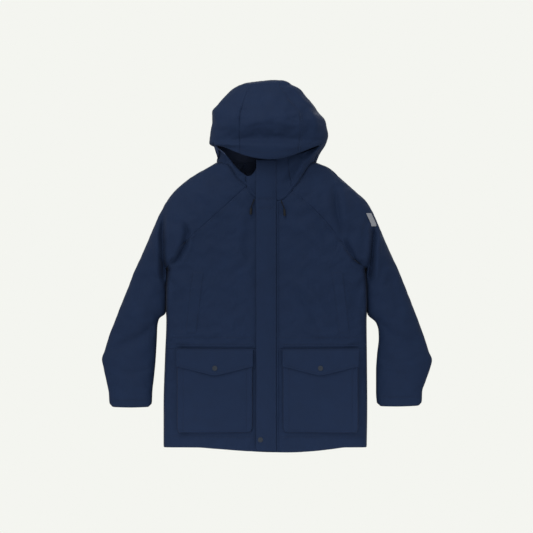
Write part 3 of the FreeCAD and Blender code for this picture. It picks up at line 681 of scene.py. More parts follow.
# ---- folds ----
# Each is a path of (x, z), a width and a depth; a depth below 0 is a ridge.
FOLDS_FRONT = [
    ([(-301, -110), (-303, -200), (-300, -300), (-296, -345)], 8, 11),
    ([(311, -160), (312, -205), (306, -300), (297, -345)], 8, 11),
    ([(-242, -158), (-229, -197), (-238, -235), (-256, -272), (-292, -302)], 8, 7),
    ([(-268, -170), (-258, -215), (-270, -260)], 14, -4),
    ([(-243, -40), (-246, -90), (-243, -150)], 16, 4),
    ([(226, -210), (240, -240), (258, -276), (290, -300)], 8, 7),
    ([(266, -150), (270, -210), (280, -262)], 14, -4),
    ([(196, -50), (201, -105), (206, -150), (229, -222)], 11, 6),
    ([(222, -60), (232, -120), (246, -190)], 14, -3),
    ([(-215, -85), (-180, -120), (-140, -165), (-118, -215)], 16, 2.6),
    ([(-190, -215), (-140, -240), (-95, -262), (-60, -300)], 18, -2.4),
    ([(-42, -140), (-54, -210), (-50, -300)], 12, 3.6),
    ([(110, -120), (155, -165), (190, -225)], 18, 3.4),
    ([(60, -170), (105, -190), (150, -222), (178, -270)], 16, -3.2),
    ([(46, -352), (92, -372), (134, -420), (152, -482)], 15, 4.0),
    ([(78, -330), (126, -368), (168, -430), (188, -480)], 15, -3.0),
    ([(-228, -352), (-262, -400), (-276, -455)], 13, 3.2),
    ([(222, -330), (254, -380), (276, -450)], 13, 3.2),
    ([(-285, -330), (-262, -360), (-246, -420), (-230, -500)], 13, 3),
    ([(283, -330), (262, -365), (250, -420), (262, -500)], 13, 3),
    ([(-120, -480), (-170, -492), (-230, -486), (-285, -505)], 9, -2.2),
    ([(95, -470), (150, -492), (215, -488), (285, -510)], 9, -2.0),
    ([(-345, -300), (-368, -370), (-392, -440)], 14, 4),
    ([(-322, -455), (-355, -495), (-410, -520), (-462, -545)], 13, 3.6),
    ([(-330, -520), (-372, -548), (-430, -562)], 14, -2.6),
    ([(-335, -590), (-380, -606), (-440, -604)], 14, 2.2),
    ([(-372, -640), (-392, -665), (-396, -690)], 14, -2),
    ([(350, -300), (374, -370), (398, -440)], 14, 4),
    ([(326, -450), (360, -490), (418, -512), (466, -540)], 13, 3.2),
    ([(334, -525), (376, -552), (436, -566)], 14, -2.6),
    ([(338, -596), (384, -610), (440, -610)], 14, 2.0),
    ([(370, -640), (388, -665), (392, -690)], 14, -2),
]
FOLDS_HOOD = [
    ([(-108, 62), (-78, 72), (-36, 77), (0, 78), (40, 77), (84, 72), (114, 62)], 12, 2.6),
    ([(-88, 104), (-36, 124), (4, 128), (50, 122), (94, 102)], 14, -2.4),
    ([(102, 172), (112, 142), (122, 108), (114, 72)], 10, 5.5),
    ([(126, 168), (142, 132), (148, 92)], 12, -4),
    ([(-130, 196), (-120, 156), (-126, 108)], 13, 3.5),
    ([(-100, 150), (-104, 120), (-96, 92)], 12, -2.5),
]
CREASES_HOOD = [
    ([(-96, 186), (-84, 170), (-66, 160), (-50, 158)], 6, 2.2),
    ([(-72, 166), (-58, 150), (-44, 146)], 6, 1.8),
    ([(-108, 92), (-98, 74), (-84, 62)], 5.5, 2.4),
    ([(-80, 176), (-70, 164), (-54, 166)], 6, -1.2),
    ([(52, 158), (64, 144), (80, 136), (96, 138)], 6, 3.0),
    ([(58, 134), (76, 124), (98, 120)], 6, 2.2),
    ([(66, 152), (80, 146), (94, 148)], 6, -1.6),
    ([(62, 232), (82, 206), (100, 186), (108, 172)], 6, 3.0),
    ([(-66, 102), (-38, 112), (0, 117), (40, 113), (80, 98)], 5, 1.3),
    ([(-56, 80), (-20, 86), (24, 86), (66, 78)], 5, 1.0),
    ([(20, 104), (50, 98), (80, 84)], 5, 1.2),
]
CREASES_FRONT = [
    ([(-300, -140), (-301, -190), (-300, -250), (-298, -310), (-295, -350)], 5.5, 11),
    ([(311, -178), (311, -205), (308, -250), (302, -310), (297, -350)], 5.5, 11),
    ([(-240, -160), (-229, -198), (-238, -238), (-258, -274), (-288, -298)], 4.5, 7),
    ([(226, -212), (242, -246), (260, -278), (288, -300)], 4.5, 7),
    ([(200, -70), (203, -120), (212, -168), (229, -216)], 5, 4),
    ([(-322, -450), (-350, -486), (-392, -510), (-440, -524)], 6, 2.4),
    ([(326, -446), (356, -484), (400, -506), (446, -520)], 6, 2.0),
    ([(-306, -420), (-330, -470), (-338, -520)], 6, 2.4),
    ([(310, -424), (334, -470), (342, -520)], 6, 2.2),
    ([(-336, -588), (-380, -604), (-430, -602)], 6, 1.4),
    ([(338, -592), (384, -606), (432, -604)], 6, 1.2),
    ([(-284, -316), (-268, -350), (-262, -400)], 6, 2.8),
    ([(286, -318), (270, -352), (264, -400)], 6, 2.8),
    ([(-288, -480), (-262, -494), (-228, -492)], 4.5, 1.8),
    ([(288, -484), (262, -498), (232, -496)], 4.5, 1.8),
    ([(290, -360), (276, -430), (286, -490)], 6, 2.6),
]
FOLDS_NECK = [
    ([(96, 20), (84, -10), (66, -40), (58, -62)], 9, 5),
    ([(118, 26), (104, 0), (92, -22), (78, -44)], 9, -3),
    ([(-126, 30), (-112, 4), (-96, -20), (-76, -44)], 8, 3),
    ([(-108, 10), (-92, -12), (-72, -34)], 8, -2.5),
]


def flat_zone(x, z):
    """1 where the cloth lies flat because something is sewn on it: zip, storm flap, pockets."""
    zone = smooth((46 - np.abs(x)) / 14) * (z < 30)
    for x0, x1 in POCKET_SPAN.values():
        inside = np.minimum(np.minimum(x - x0, x1 - x), np.minimum(z - POCKET_LOW, POCKET_SEAM - z))
        zone = np.maximum(zone, smooth((inside + 16) / 16))
    return zone


def fold_shift(points, folds):
    x, z = points[:, 0], points[:, 2]
    total = np.zeros(len(points))
    for path, width, depth in folds:
        total = total + crease(x, z, path, width, depth)
    return total


def sharp(x, z, path, width, depth):
    """A crease with a sharp bottom, fading at both ends."""
    dist, share = path_distance(x, z, path)
    fade = smooth(share / 0.22) * smooth((1 - share) / 0.22)
    return -depth * fade * np.exp(-((dist / width) ** 1.15))


def add_creases(points, kind):
    """Fine creases on a finished surface. kind: body or hood."""
    x, y, z = points[:, 0], points[:, 1], points[:, 2]
    total = np.zeros(len(points))
    for path, width, depth in CREASES_HOOD if kind == "hood" else CREASES_FRONT:
        total = total + sharp(x, z, path, width, depth)
    out = points.copy()
    if kind == "hood":
        ahead = smooth((-78 - y) / 20)
        total = total + 0.35 * waves(x, z, 71, 26) * smooth((z - 70) / 20)
        behind = 0
    else:
        ahead = smooth((MID_Y - 10 - y) / 26) * (1 - flat_zone(x, z))
        total = total + 0.3 * waves(x, z, 72, 30)
        behind = smooth((y - MID_Y - 10) / 26) * (0.6 * total + 0.5 * waves(x, z, 73, 34))
    out[:, 1] = y - ahead * total + behind
    return out


def add_folds(points, group):
    """Moves body and hood points by their folds. group: 0 torso and sleeves, 1 hood, 2 neck."""
    x, y, z = points[:, 0], points[:, 1], points[:, 2]
    out = points.copy()
    body, hood, neck = group == 0, group == 1, group == 2
    front = smooth((MID_Y - 14 - y) / 36)
    back = smooth((y - MID_Y - 14) / 36)
    loose = 1 - flat_zone(x, z)
    shift = fold_shift(points, FOLDS_FRONT)
    sleeve = smooth((np.abs(x) - 250) / 60)
    soft = (1.6 + 1.2 * sleeve) * waves(x, z, 11, 150) + 0.9 * waves(x, z, 12, 62)
    long = 2.4 * waves(x, 0.25 * z, 21, 120) + 1.4 * waves(x, z, 22, 80) + 0.7 * shift
    out[:, 1] = np.where(body, y - front * loose * (shift + soft) + back * long, out[:, 1])
    shift = fold_shift(points, FOLDS_HOOD)
    ahead = smooth((-84 - y) / 30)
    soft = 1.5 * waves(x, z, 31, 90) + 0.8 * waves(x, z, 32, 42)
    stiff = smooth((z - 78) / 30) + 0.15
    behind = smooth((y + 50) / 40) * 2.4 * waves(x, z, 33, 90)
    out[:, 1] = np.where(hood, y - ahead * (shift + soft * stiff) + behind, out[:, 1])
    shift = fold_shift(points, FOLDS_NECK)
    out[:, 1] = np.where(neck, y - shift * loose, out[:, 1])
    return out


# ---- materials ----
def value_node(nodes, kind, **inputs):
    node = nodes.new(kind)
    for key, value in inputs.items():
        node.inputs[key.replace("_", " ")].default_value = value
    return node


def make_material(name, color, roughness, specular, sheen=0.0, mottle=0.06, grain=None,
                  twill=None, metallic=0.0):
    """Cloth, plastic or metal: a base colour with soft mottling, a fine grain and a twill in the bump."""
    mat = bpy.data.materials.new(name)
    mat.use_nodes = True
    nodes, links = mat.node_tree.nodes, mat.node_tree.links
    shader = nodes["Principled BSDF"]
    shader.inputs["Metallic"].default_value = metallic
    shader.inputs["Specular IOR Level"].default_value = specular
    shader.inputs["Sheen Weight"].default_value = sheen
    shader.inputs["Sheen Roughness"].default_value = 0.4
    coord = nodes.new("ShaderNodeTexCoord")
    wide = value_node(nodes, "ShaderNodeTexNoise", Scale=22.0, Detail=6.0, Roughness=0.6)
    links.new(coord.outputs["Object"], wide.inputs["Vector"])
    ramp = nodes.new("ShaderNodeValToRGB")
    ramp.color_ramp.elements[0].position = 0.25
    ramp.color_ramp.elements[1].position = 0.75
    ramp.color_ramp.elements[0].color = (*[c * (1 - mottle) for c in color], 1)
    ramp.color_ramp.elements[1].color = (*[c * (1 + mottle) for c in color], 1)
    links.new(wide.outputs["Fac"], ramp.inputs["Fac"])
    links.new(ramp.outputs["Color"], shader.inputs["Base Color"])
    rough = nodes.new("ShaderNodeMapRange")
    rough.inputs["To Min"].default_value = roughness - 0.06
    rough.inputs["To Max"].default_value = roughness + 0.06
    links.new(wide.outputs["Fac"], rough.inputs["Value"])
    links.new(rough.outputs["Result"], shader.inputs["Roughness"])
    heights = []
    if grain:
        fine = value_node(nodes, "ShaderNodeTexNoise", Scale=grain, Detail=3.0)
        links.new(coord.outputs["Object"], fine.inputs["Vector"])
        heights.append(fine.outputs["Fac"])
    if twill:
        wave = value_node(nodes, "ShaderNodeTexWave", Scale=twill, Distortion=0.6, Detail=1.0)
        wave.bands_direction = "DIAGONAL"
        links.new(coord.outputs["Object"], wave.inputs["Vector"])
        heights.append(wave.outputs["Fac"])
    if heights:
        height = heights[0]
        if len(heights) > 1:
            add = nodes.new("ShaderNodeMath")
            add.operation = "ADD"
            links.new(heights[0], add.inputs[0])
            links.new(heights[1], add.inputs[1])
            height = add.outputs[0]
        bump = value_node(nodes, "ShaderNodeBump", Strength=0.25, Distance=0.0004)
        links.new(height, bump.inputs["Height"])
        links.new(bump.outputs["Normal"], shader.inputs["Normal"])
    return mat


SHELL = make_material("coated_navy_cloth", (0.0094, 0.0196, 0.0500), 0.72, 0.1, 0.03, 0.07, 850, 210)
TRIM = make_material("navy_cloth_tape", (0.0080, 0.0158, 0.0400), 0.75, 0.12, 0.03, 0.05, 900, 260)
LINING = make_material("navy_taffeta", (0.036, 0.052, 0.104), 0.6, 0.15, 0.02, 0.08, 700, 330)
THREAD = make_material("navy_thread", (0.0076, 0.0150, 0.0375), 0.6, 0.15, 0.05, 0.1, 1500)
CORD = make_material("black_braid", (0.0035, 0.004, 0.0055), 0.75, 0.15, 0.05, 0.15, 1500, 420)
BLACK = make_material("black_plastic", (0.0035, 0.004, 0.0055), 0.5, 0.25, 0.0, 0.1, 500)
METAL = make_material("dark_metal", (0.10, 0.105, 0.115), 0.4, 0.5, 0.0, 0.15, 420, None, 0.9)
ENAMEL = make_material("enamelled_snap", (0.018, 0.024, 0.034), 0.5, 0.25, 0.0, 0.08, 600)
LABEL = make_material("grey_woven_label", (0.06, 0.065, 0.075), 0.7, 0.15, 0.05, 0.06, 900, 300)
REFLECT = make_material("grey_reflective_film", (0.22, 0.23, 0.25), 0.38, 0.5, 0.0, 0.05, 600, 260)
LINED = [SHELL, LINING]             # outer face, inner face
UNLINED = [SHELL, SHELL]
CAD_FINISH = [
    (TRIM, ["left_zip_tape", "right_zip_tape", "wind_guard", "hanger_loop"]),
    (METAL, ["zip_top_stops", "zip_bottom_box", "zip_slider", "zip_pull", "storm_flap_studs",
             "storm_flap_sockets", "left_pocket_stud", "right_pocket_stud"]),
    (ENAMEL, ["storm_flap_snap_cap", "left_flap_snap_cap", "right_flap_snap_cap"]),
    (BLACK, ["left_cord_end", "right_cord_end"]),
    (LABEL, ["neck_label"]),
]
for material, nodes_of in CAD_FINISH:
    for node in nodes_of:
        for holder in bpy.data.objects[node].material_slots:
            holder.material = material


# ---- cords and camera ----
CORD_ROUTE = [
    (-35.0, -123.2, -99.0), (-36.6, -125.0, -105.5), (-39.6, -125.8, -112.0),
    (-42.6, -125.2, -118.5), (-44.0, -124.9, -125.0), (-44.4, -125.0, -131.0),
]
CORD_D = 2.8
LEFT_CORD_SHIFT = (8, -4)           # the left tail mirrors the right one, this much off


def make_cords():
    for side, name in SIDES:
        dx, dz = LEFT_CORD_SHIFT if side > 0 else (0, 0)
        route = [(-side * x + dx, y, z + dz) for x, y, z in CORD_ROUTE]
        data = bpy.data.curves.new(name + "_drawcord_tail", "CURVE")
        data.dimensions = "3D"
        data.bevel_depth = CORD_D / 2 * MM
        data.bevel_resolution = 4
        data.resolution_u = 10
        data.use_fill_caps = True
        line = data.splines.new("NURBS")
        line.points.add(len(route) - 1)
        for point, xyz in zip(line.points, route):
            point.co = (*[v * MM for v in xyz], 1)
        line.order_u = 3
        line.use_endpoint_u = True
        data.materials.append(CORD)
        obj = bpy.data.objects.new(name + "_drawcord_tail", data)
        bpy.context.scene.collection.objects.link(obj)
        place(obj, "torso", "cord", name + "_drawcord")
        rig.cord(obj, exit=[v * MM for v in route[0]], length=0.0339, diameter=CORD_D * MM,
                far_end="fitting", stiffness="limp", lay="hanging", with_pieces=[name + "_cord_end"])


PICTURE_SIZE, PICTURE_UNIT = 533, 2.9       # the square picture, and its unit in mm
CAMERA_DISTANCE, CAMERA_X, CAMERA_Z = 20000, 0.6, -294.4
FRAMED_DEPTH = 85.0                 # how far in front of the origin one unit measures that much
SENSOR = 36.0


def make_camera():
    scene = bpy.context.scene
    scene.view_settings.view_transform = "Standard"
    scene.view_settings.look = "None"
    data = bpy.data.cameras.new("camera")
    cam = bpy.data.objects.new("camera", data)
    scene.collection.objects.link(cam)
    # far off, so that the view is nearly without perspective
    data.sensor_width = SENSOR
    data.lens = SENSOR * (CAMERA_DISTANCE - FRAMED_DEPTH) / (PICTURE_SIZE * PICTURE_UNIT)
    cam.location = (CAMERA_X * MM, -CAMERA_DISTANCE * MM, CAMERA_Z * MM)
    cam.rotation_euler = (math.radians(90), 0, 0)
    scene.camera = cam


make_camera()
make_cords()


# ---- cloth ----
def weld(grids):
    """One set of points from all grids, with the points they share merged, and each grid's indices."""
    points = np.concatenate([g.reshape(-1, 3) for g in grids.values()])
    tree = KDTree(len(points))
    for k, p in enumerate(points):
        tree.insert(p, k)
    tree.balance()
    first = np.arange(len(points))
    for k, p in enumerate(points):
        if first[k] == k:
            for _, j, _ in tree.find_range(p, 0.7):
                if j > k:
                    first[j] = k
    for k in range(len(points)):
        first[k] = first[first[k]]
    keep, remap = np.unique(first, return_inverse=True)
    index, at = {}, 0
    for name, g in grids.items():
        size = g.shape[0] * g.shape[1]
        index[name] = remap[at : at + size].reshape(g.shape[:2])
        at += size
    return points[keep], index


def quads_of(ids):
    faces = []
    for r in range(ids.shape[0] - 1):
        for c in range(ids.shape[1] - 1):
            quad = [ids[r, c], ids[r, c + 1], ids[r + 1, c + 1], ids[r + 1, c]]
            quad = list(dict.fromkeys(int(q) for q in quad))
            if len(quad) > 2:
                faces.append(quad)
    return faces


def outward(points, faces, inside):
    """The faces, turned so that their normals lead away from the point inside."""
    total = 0.0
    for f in faces:
        a, b, c = points[f[0]], points[f[1]], points[f[2]]
        total += np.cross(b - a, c - a) @ ((a + c) / 2 - inside)
    return faces if total > 0 else [f[::-1] for f in faces]


def point_normals(points, faces):
    normals = np.zeros_like(points)
    for f in faces:
        n = np.cross(points[f[1]] - points[f[0]], points[f[-1]] - points[f[0]])
        normals[f] += n
    return normals / (np.linalg.norm(normals, axis=1, keepdims=True) + 1e-9)


def cloth(name, points, faces, materials, thickness=CLOTH_T, creases=None):
    """A cloth piece: the faces subdivided once, creased, and given a thickness inwards."""
    used = sorted({i for f in faces for i in f})
    where = {i: k for k, i in enumerate(used)}
    obj = mesh_object(name, points[used], [[where[i] for i in f] for f in faces], materials)
    sub = obj.modifiers.new("round", "SUBSURF")
    sub.levels = sub.render_levels = 1
    sub.boundary_smooth = "PRESERVE_CORNERS"
    fine = bpy.data.meshes.new_from_object(obj.evaluated_get(bpy.context.evaluated_depsgraph_get()))
    coarse = obj.data
    obj.modifiers.clear()
    obj.data = fine
    bpy.data.meshes.remove(coarse)
    if creases:
        co = np.zeros(len(fine.vertices) * 3)
        fine.vertices.foreach_get("co", co)
        fine.vertices.foreach_set("co", (add_creases(co.reshape(-1, 3) / MM, creases) * MM).ravel())
        fine.update()
    if thickness:
        thick = obj.modifiers.new("thick", "SOLIDIFY")
        thick.thickness = thickness * MM
        thick.offset = -1
        thick.material_offset = len(obj.data.materials) - 1
    return obj


def drape(points, faces, pins, frames, cap):
    """Runs a short cloth simulation and returns the moved points, each at most cap from its start."""
    obj = mesh_object("drape_work", points, faces, SHELL)
    group = obj.vertex_groups.new(name="pin")
    for level in np.unique(np.round(pins, 2)):
        group.add(np.nonzero(np.abs(pins - level) < 0.006)[0].tolist(), float(level), "REPLACE")
    modifier = obj.modifiers.new("cloth", "CLOTH")
    s = modifier.settings
    s.quality = 4
    s.mass = 0.35
    s.tension_stiffness = s.compression_stiffness = 20
    s.shear_stiffness = 8
    s.bending_stiffness = 6.0
    s.tension_damping = s.compression_damping = s.shear_damping = 12
    s.bending_damping = 3
    s.air_damping = 4
    s.vertex_group_mass = "pin"
    s.pin_stiffness = 1.2
    s.shrink_min = -0.012
    s.effector_weights.gravity = 0.05
    modifier.collision_settings.use_collision = False
    scene = bpy.context.scene
    for f in range(1, frames + 1):
        scene.frame_set(f)
    done = obj.evaluated_get(bpy.context.evaluated_depsgraph_get())
    co = np.zeros(len(points) * 3)
    done.data.vertices.foreach_get("co", co)
    bpy.data.objects.remove(obj)
    scene.frame_set(1)
    move = co.reshape(-1, 3) / MM - points
    far = np.linalg.norm(move, axis=1, keepdims=True)
    return points + move * np.minimum(1, cap / (far + 1e-9))


# ---- all the cloth panels, welded, folded and draped ----
grids = body_grids()
for side, name in SIDES:
    grids[name + "_sleeve"] = sleeve_grids(side)
hood_shape = hood_grid()
for side, name in SIDES:
    wing = wing_grid(side, grids[name + "_sleeve"][0, : N_ROUND // 2 + 1], hood_shape)
    grids[name + "_wing"] = wing
    grids[name + "_chin"] = chin_grid(side, grids[name + "_front_panel"][-1, :N_NECK], wing[:, 0])
grids["hood"] = hood_shape
points, index = weld(grids)
hood_ids = index["hood"]
group = np.zeros(len(points), int)
group[np.unique(hood_ids)] = 1
for _, name in SIDES:
    for part in ("_wing", "_chin"):
        group[np.unique(index[name + part][1:])] = 2

# a point inside each panel's cavity
INSIDE = {
    "hood": (0, -62, 110),
    **{name + "_sleeve": (side * 370, MID_Y, -400) for side, name in SIDES},
    **{name + "_wing": (side * 40, MID_Y, -20) for side, name in SIDES},
    **{name + "_chin": (side * 20, MID_Y, -40) for side, name in SIDES},
}
faces = {}
for name, ids in index.items():
    faces[name] = outward(points, quads_of(ids), np.array(INSIDE.get(name, BODY_MIDDLE), float))
all_faces = [f for part in faces.values() for f in part]
points = add_folds(points, group)

LOW_ROWS = HOOD_ROWS[0]
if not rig.quick():
    pins = np.where((group == 0) & (points[:, 1] < MID_Y), flat_zone(points[:, 0], points[:, 2]), 0)
    pins = np.maximum(0.32, pins)
    for name, ids in index.items():
        if "front" in name:
            pins[ids[:, 0]] = 1.0
            pins[ids[:, -2:]] = 0.9
        if "sleeve" in name:
            pins[ids[0]] = 1.0
            pins[ids[-1]] = 0.6
            pins[ids[N_RAGLAN - 3 :, [0, 1, 2, -3, -2, -1]]] = 0.9
            pins[ids[:, N_ROUND // 2]] = 0.9
        if "back" in name:
            pins[ids[-1, :N_BACK_NECK]] = 1.0
        if "wing" in name or "chin" in name:
            pins[ids[[0, -1]]] = 1.0
    pins[hood_ids[: LOW_ROWS + 1]] = 1.0
    pins[hood_ids[-LOW_ROWS:]] = 0.7
    points = drape(points, all_faces, pins, 12, 5.0)

# seams: the cloth dips a little where two panels meet
normals = point_normals(points, all_faces)
seam_ids = set(hood_ids[:, [HOOD_SIDE_COLS, HOOD_SIDE_COLS + HOOD_MID_COLS]].ravel().tolist())
for _, name in SIDES:
    sleeve, panel, skirt = (index[name + part] for part in ("_sleeve", "_front_panel", "_front_skirt"))
    for line in (sleeve[0], sleeve[:, 0], sleeve[:N_RAGLAN, -1],
                 panel[0], panel[-1], panel[:, -1], skirt[:, -1]):
        seam_ids.update(line.tolist())
seam_ids = sorted(seam_ids)
points[seam_ids] -= 0.5 * normals[seam_ids]
normals = point_normals(points, all_faces)


def inner_faces(names, rows=None, cols=None):
    """Faces of the named grids, or of a part of each, turned outwards."""
    found = []
    for name in names:
        ids = index[name][rows or slice(None), cols or slice(None)]
        found += outward(points, quads_of(ids), np.array(INSIDE.get(name, BODY_MIDDLE), float))
    return found


def inner_cloth(name, found, depth, material, creases="body", thickness=INNER_T):
    """A layer of cloth behind the outer one: a lining or a facing."""
    return cloth(name, points - depth * normals, found, material, thickness, creases)


def make_body():
    """The outer panels, which are returned, with the lining and facings behind them."""
    made = []
    for _, name in SIDES:
        for part in ("_front_panel", "_front_skirt"):
            obj = cloth(name + part + "_cloth", points, faces[name + part], LINED, CLOTH_T, "body")
            made.append(place(obj, "torso", "shell", name + part))
    found = faces["right_back_half"] + faces["left_back_half"]
    obj = cloth("back_panel_cloth", points, found, LINED, CLOTH_T, "body")
    made.append(place(obj, "torso", "shell", "back_panel"))
    panels, skirts, halves = (
        [name + part for _, name in SIDES] for part in ("_front_panel", "_front_skirt", "_back_half")
    )
    found = inner_faces(panels, slice(0, N_UPPER - 3), slice(4, None))
    found += inner_faces(skirts, slice(4, None), slice(4, None)) + inner_faces(halves, slice(4, None))
    # behind the folds of the yoke the lining hangs straight in from the back
    out = np.abs(points[:, 0])
    yoke = smooth((out - 45) / 22) * smooth((230 - out) / 60) * smooth(points[:, 1] / 6)
    yoke = (yoke * smooth((points[:, 2] + 300) / 60))[:, None]
    behind = points - 5.2 * normals * (1 - yoke) - np.array([0, 8.0, 0]) * yoke
    lining = cloth("body_lining_cloth", behind, found, LINING, INNER_T, "body")
    place(lining, "torso", "lining", "body_lining")
    found = inner_faces(skirts, slice(0, 5), slice(4, None)) + inner_faces(halves, slice(0, 5))
    place(inner_cloth("hem_facing_cloth", found, 2.2, SHELL), "torso", "facing", "hem_facing")
    for _, name in SIDES:
        found = inner_faces([name + "_front_panel"], slice(0, N_UPPER - 2), slice(0, 6))
        found += inner_faces([name + "_front_skirt"], None, slice(0, 6))
        obj = inner_cloth(name + "_front_facing_cloth", found, 2.2, SHELL)
        place(obj, "torso", "facing", name + "_front_facing")
    return made


def make_sleeves():
    """Each sleeve in one raglan piece, which is returned by side, with its lining and cuff facing."""
    made = {}
    for side, name in SIDES:
        body = name + "_sleeve"
        obj = cloth(body + "_cloth", points, faces[body], LINED, CLOTH_T, "body")
        made[side] = place(obj, body, "shell", body, body + "_head")
        obj = inner_cloth(body + "_lining_cloth", inner_faces([body], slice(1, -4)), 4.6, LINING)
        place(obj, body, "lining", body + "_lining")
        obj = inner_cloth(name + "_cuff_facing_cloth", inner_faces([body], slice(-6, None)), 2.0, SHELL)
        place(obj, body, "facing", name + "_cuff_facing")
    return made


def make_hood():
    """Centre panel, two side panels, the stiff peak, the lower fronts, chin guards and the lining."""
    a, b = HOOD_SIDE_COLS, HOOD_SIDE_COLS + HOOD_MID_COLS

    def part(rows, cols=slice(None)):
        return outward(points, quads_of(hood_ids[rows, cols]), np.array(INSIDE["hood"], float))

    every = slice(None)
    peak = inner_cloth("hood_peak_cloth", part(slice(0, LOW_ROWS + 1), slice(3, -3)), 1.5, SHELL, "hood", 1.8)
    centre = cloth("hood_centre_cloth", points, part(every, slice(a, b + 1)), LINED, CLOTH_T, "hood")
    made = [
        place(peak, "hood", "shell", "hood_peak", "peak_stiffener"),
        place(centre, "hood", "shell", "hood_centre_panel"),
    ]
    for name, cols in (("right", slice(0, a + 1)), ("left", slice(b, None))):
        found = part(every, cols) + faces[name + "_wing"]
        panel = cloth("hood_" + name + "_cloth", points, found, LINED, CLOTH_T, "hood")
        made.append(place(panel, "hood", "shell", "hood_" + name + "_panel"))
        chin = cloth(name + "_chin_guard_cloth", points, faces[name + "_chin"], LINED, 2.0)
        made.append(place(chin, "torso", "shell", name + "_chin_guard"))
    lining = inner_cloth("hood_lining_cloth", part(slice(2, len(hood_ids) - 1)), 4.4, LINING, "hood")
    place(lining, "hood", "lining", "hood_lining")
    return made


body_made = make_body()
sleeves_made = make_sleeves()
hood_made = make_hood()


# ---- surfaces to sew on ----
def skin(objects):
    """A search tree over the finished surfaces of these objects, in metres."""
    graph = bpy.context.evaluated_depsgraph_get()
    verts, polys = [], []
    for obj in objects:
        mesh = obj.evaluated_get(graph).to_mesh()
        base = len(verts)
        verts += [v.co.copy() for v in mesh.vertices]
        polys += [[base + i for i in p.vertices] for p in mesh.polygons]
    return BVHTree.FromPolygons(verts, polys)


def drop(tree, x, z, front=True):
    """The outermost point of the surface at (x, z), and its normal, in millimetres."""
    start = Vector((x * MM, -0.5 if front else 0.5, z * MM))
    hit, normal, _, _ = tree.ray_cast(start, Vector((0, 1 if front else -1, 0)))
    if hit is None:
        return None
    if normal.y * (1 if front else -1) > 0:
        normal = -normal
    return np.array(hit) / MM, np.array(normal)


def lay_on(tree, path, front=True, step=2.0):
    """A path of (x, z) laid on a surface: points and normals every step."""
    length = np.linalg.norm(np.diff(np.asarray(path, float), axis=0), axis=1).sum()
    flat = along(path, max(2, int(length / step)))
    found = [drop(tree, x, z, front) for x, z in flat]
    found = [f for f in found if f is not None]
    return np.array([f[0] for f in found]), np.array([f[1] for f in found])


STITCH_PITCH, STITCH_LENGTH = 4.4, 3.2
STITCH_WIDTH, STITCH_HEIGHT, STITCH_ROOT = 0.8, 0.45, 0.4


def stitches(line, normal):
    """The corners of each stitch along a line on a surface: four in the cloth, then four on top."""
    run = np.concatenate([[0], np.cumsum(np.linalg.norm(np.diff(line, axis=0), axis=1))])
    for start in np.arange(STITCH_PITCH / 2, run[-1] - STITCH_LENGTH, STITCH_PITCH):
        ends = []
        for d in (start, start + STITCH_LENGTH):
            p = np.array([np.interp(d, run, line[:, k]) for k in range(3)])
            n = np.array([np.interp(d, run, normal[:, k]) for k in range(3)])
            ends.append((p, n / (np.linalg.norm(n) + 1e-9)))
        (a, na), (b, nb) = ends
        ahead = (b - a) / (np.linalg.norm(b - a) + 1e-9)
        side = np.cross(na, ahead) * STITCH_WIDTH / 2
        pull = ahead * 0.5
        yield [
            a - side - na * STITCH_ROOT, a + side - na * STITCH_ROOT,
            b + side - nb * STITCH_ROOT, b - side - nb * STITCH_ROOT,
            a + pull - side * 0.6 + na * STITCH_HEIGHT, a + pull + side * 0.6 + na * STITCH_HEIGHT,
            b - pull + side * 0.6 + nb * STITCH_HEIGHT, b - pull - side * 0.6 + nb * STITCH_HEIGHT,
        ]


def sew(name, body, seams):
    """One object of stitches along seams: a surface, a path of (x, z), and False if at the back."""
    verts, made = [], []
    for seam in seams:
        line, normal = lay_on(*seam)
        for corners in stitches(line, normal) if len(line) > 3 else ():
            for f in ((3, 2, 1, 0), (4, 5, 6, 7), (0, 1, 5, 4), (1, 2, 6, 5), (2, 3, 7, 6), (3, 0, 4, 7)):
                made.append([len(verts) + i for i in f])
            verts += corners
    return place(mesh_object(name, verts, made, THREAD, False), body)


def strip(name, tree, path, width, height, segments=6):
    """A low rounded strip of folded cloth along a path of (x, z) on the front."""
    line, normal = lay_on(tree, path, True, 5.0)
    verts, across = [], np.linspace(-1, 1, segments + 1)
    for k, (p, n) in enumerate(zip(line, normal)):
        ahead = line[min(k + 1, len(line) - 1)] - line[max(k - 1, 0)]
        side = np.cross(n, ahead)
        side /= np.linalg.norm(side)
        for s in across:
            rise = height * (1 - abs(s) ** 3) - 0.5 * abs(s) ** 3
            verts.append(p + side * s * width / 2 + n * rise)
    return mesh_object(name, verts, grid_faces(len(line), segments + 1), SHELL)


def sheet_of(name, grid, inside, materials, thickness):
    """A cloth piece from a (rows, cols, 3) grid of points, facing away from the point inside."""
    flat = grid.reshape(-1, 3)
    made = outward(flat, grid_faces(*grid.shape[:2]), np.array(inside, float))
    return cloth(name, flat, made, materials, thickness)


body_skin = skin(body_made)


# ---- storm flap ----
FLAP_FACE_Y = -127.6
FLAP_TOP_Z = 14.4
FLAP_SEAM_X = 33.0
FLAP_TACKS = (-98, -124)            # two rows of stitching hold the flap's top end
SNAP_Z, SNAP_PITCH = -796, 173       # the lowest of five snaps, and the way up to the next


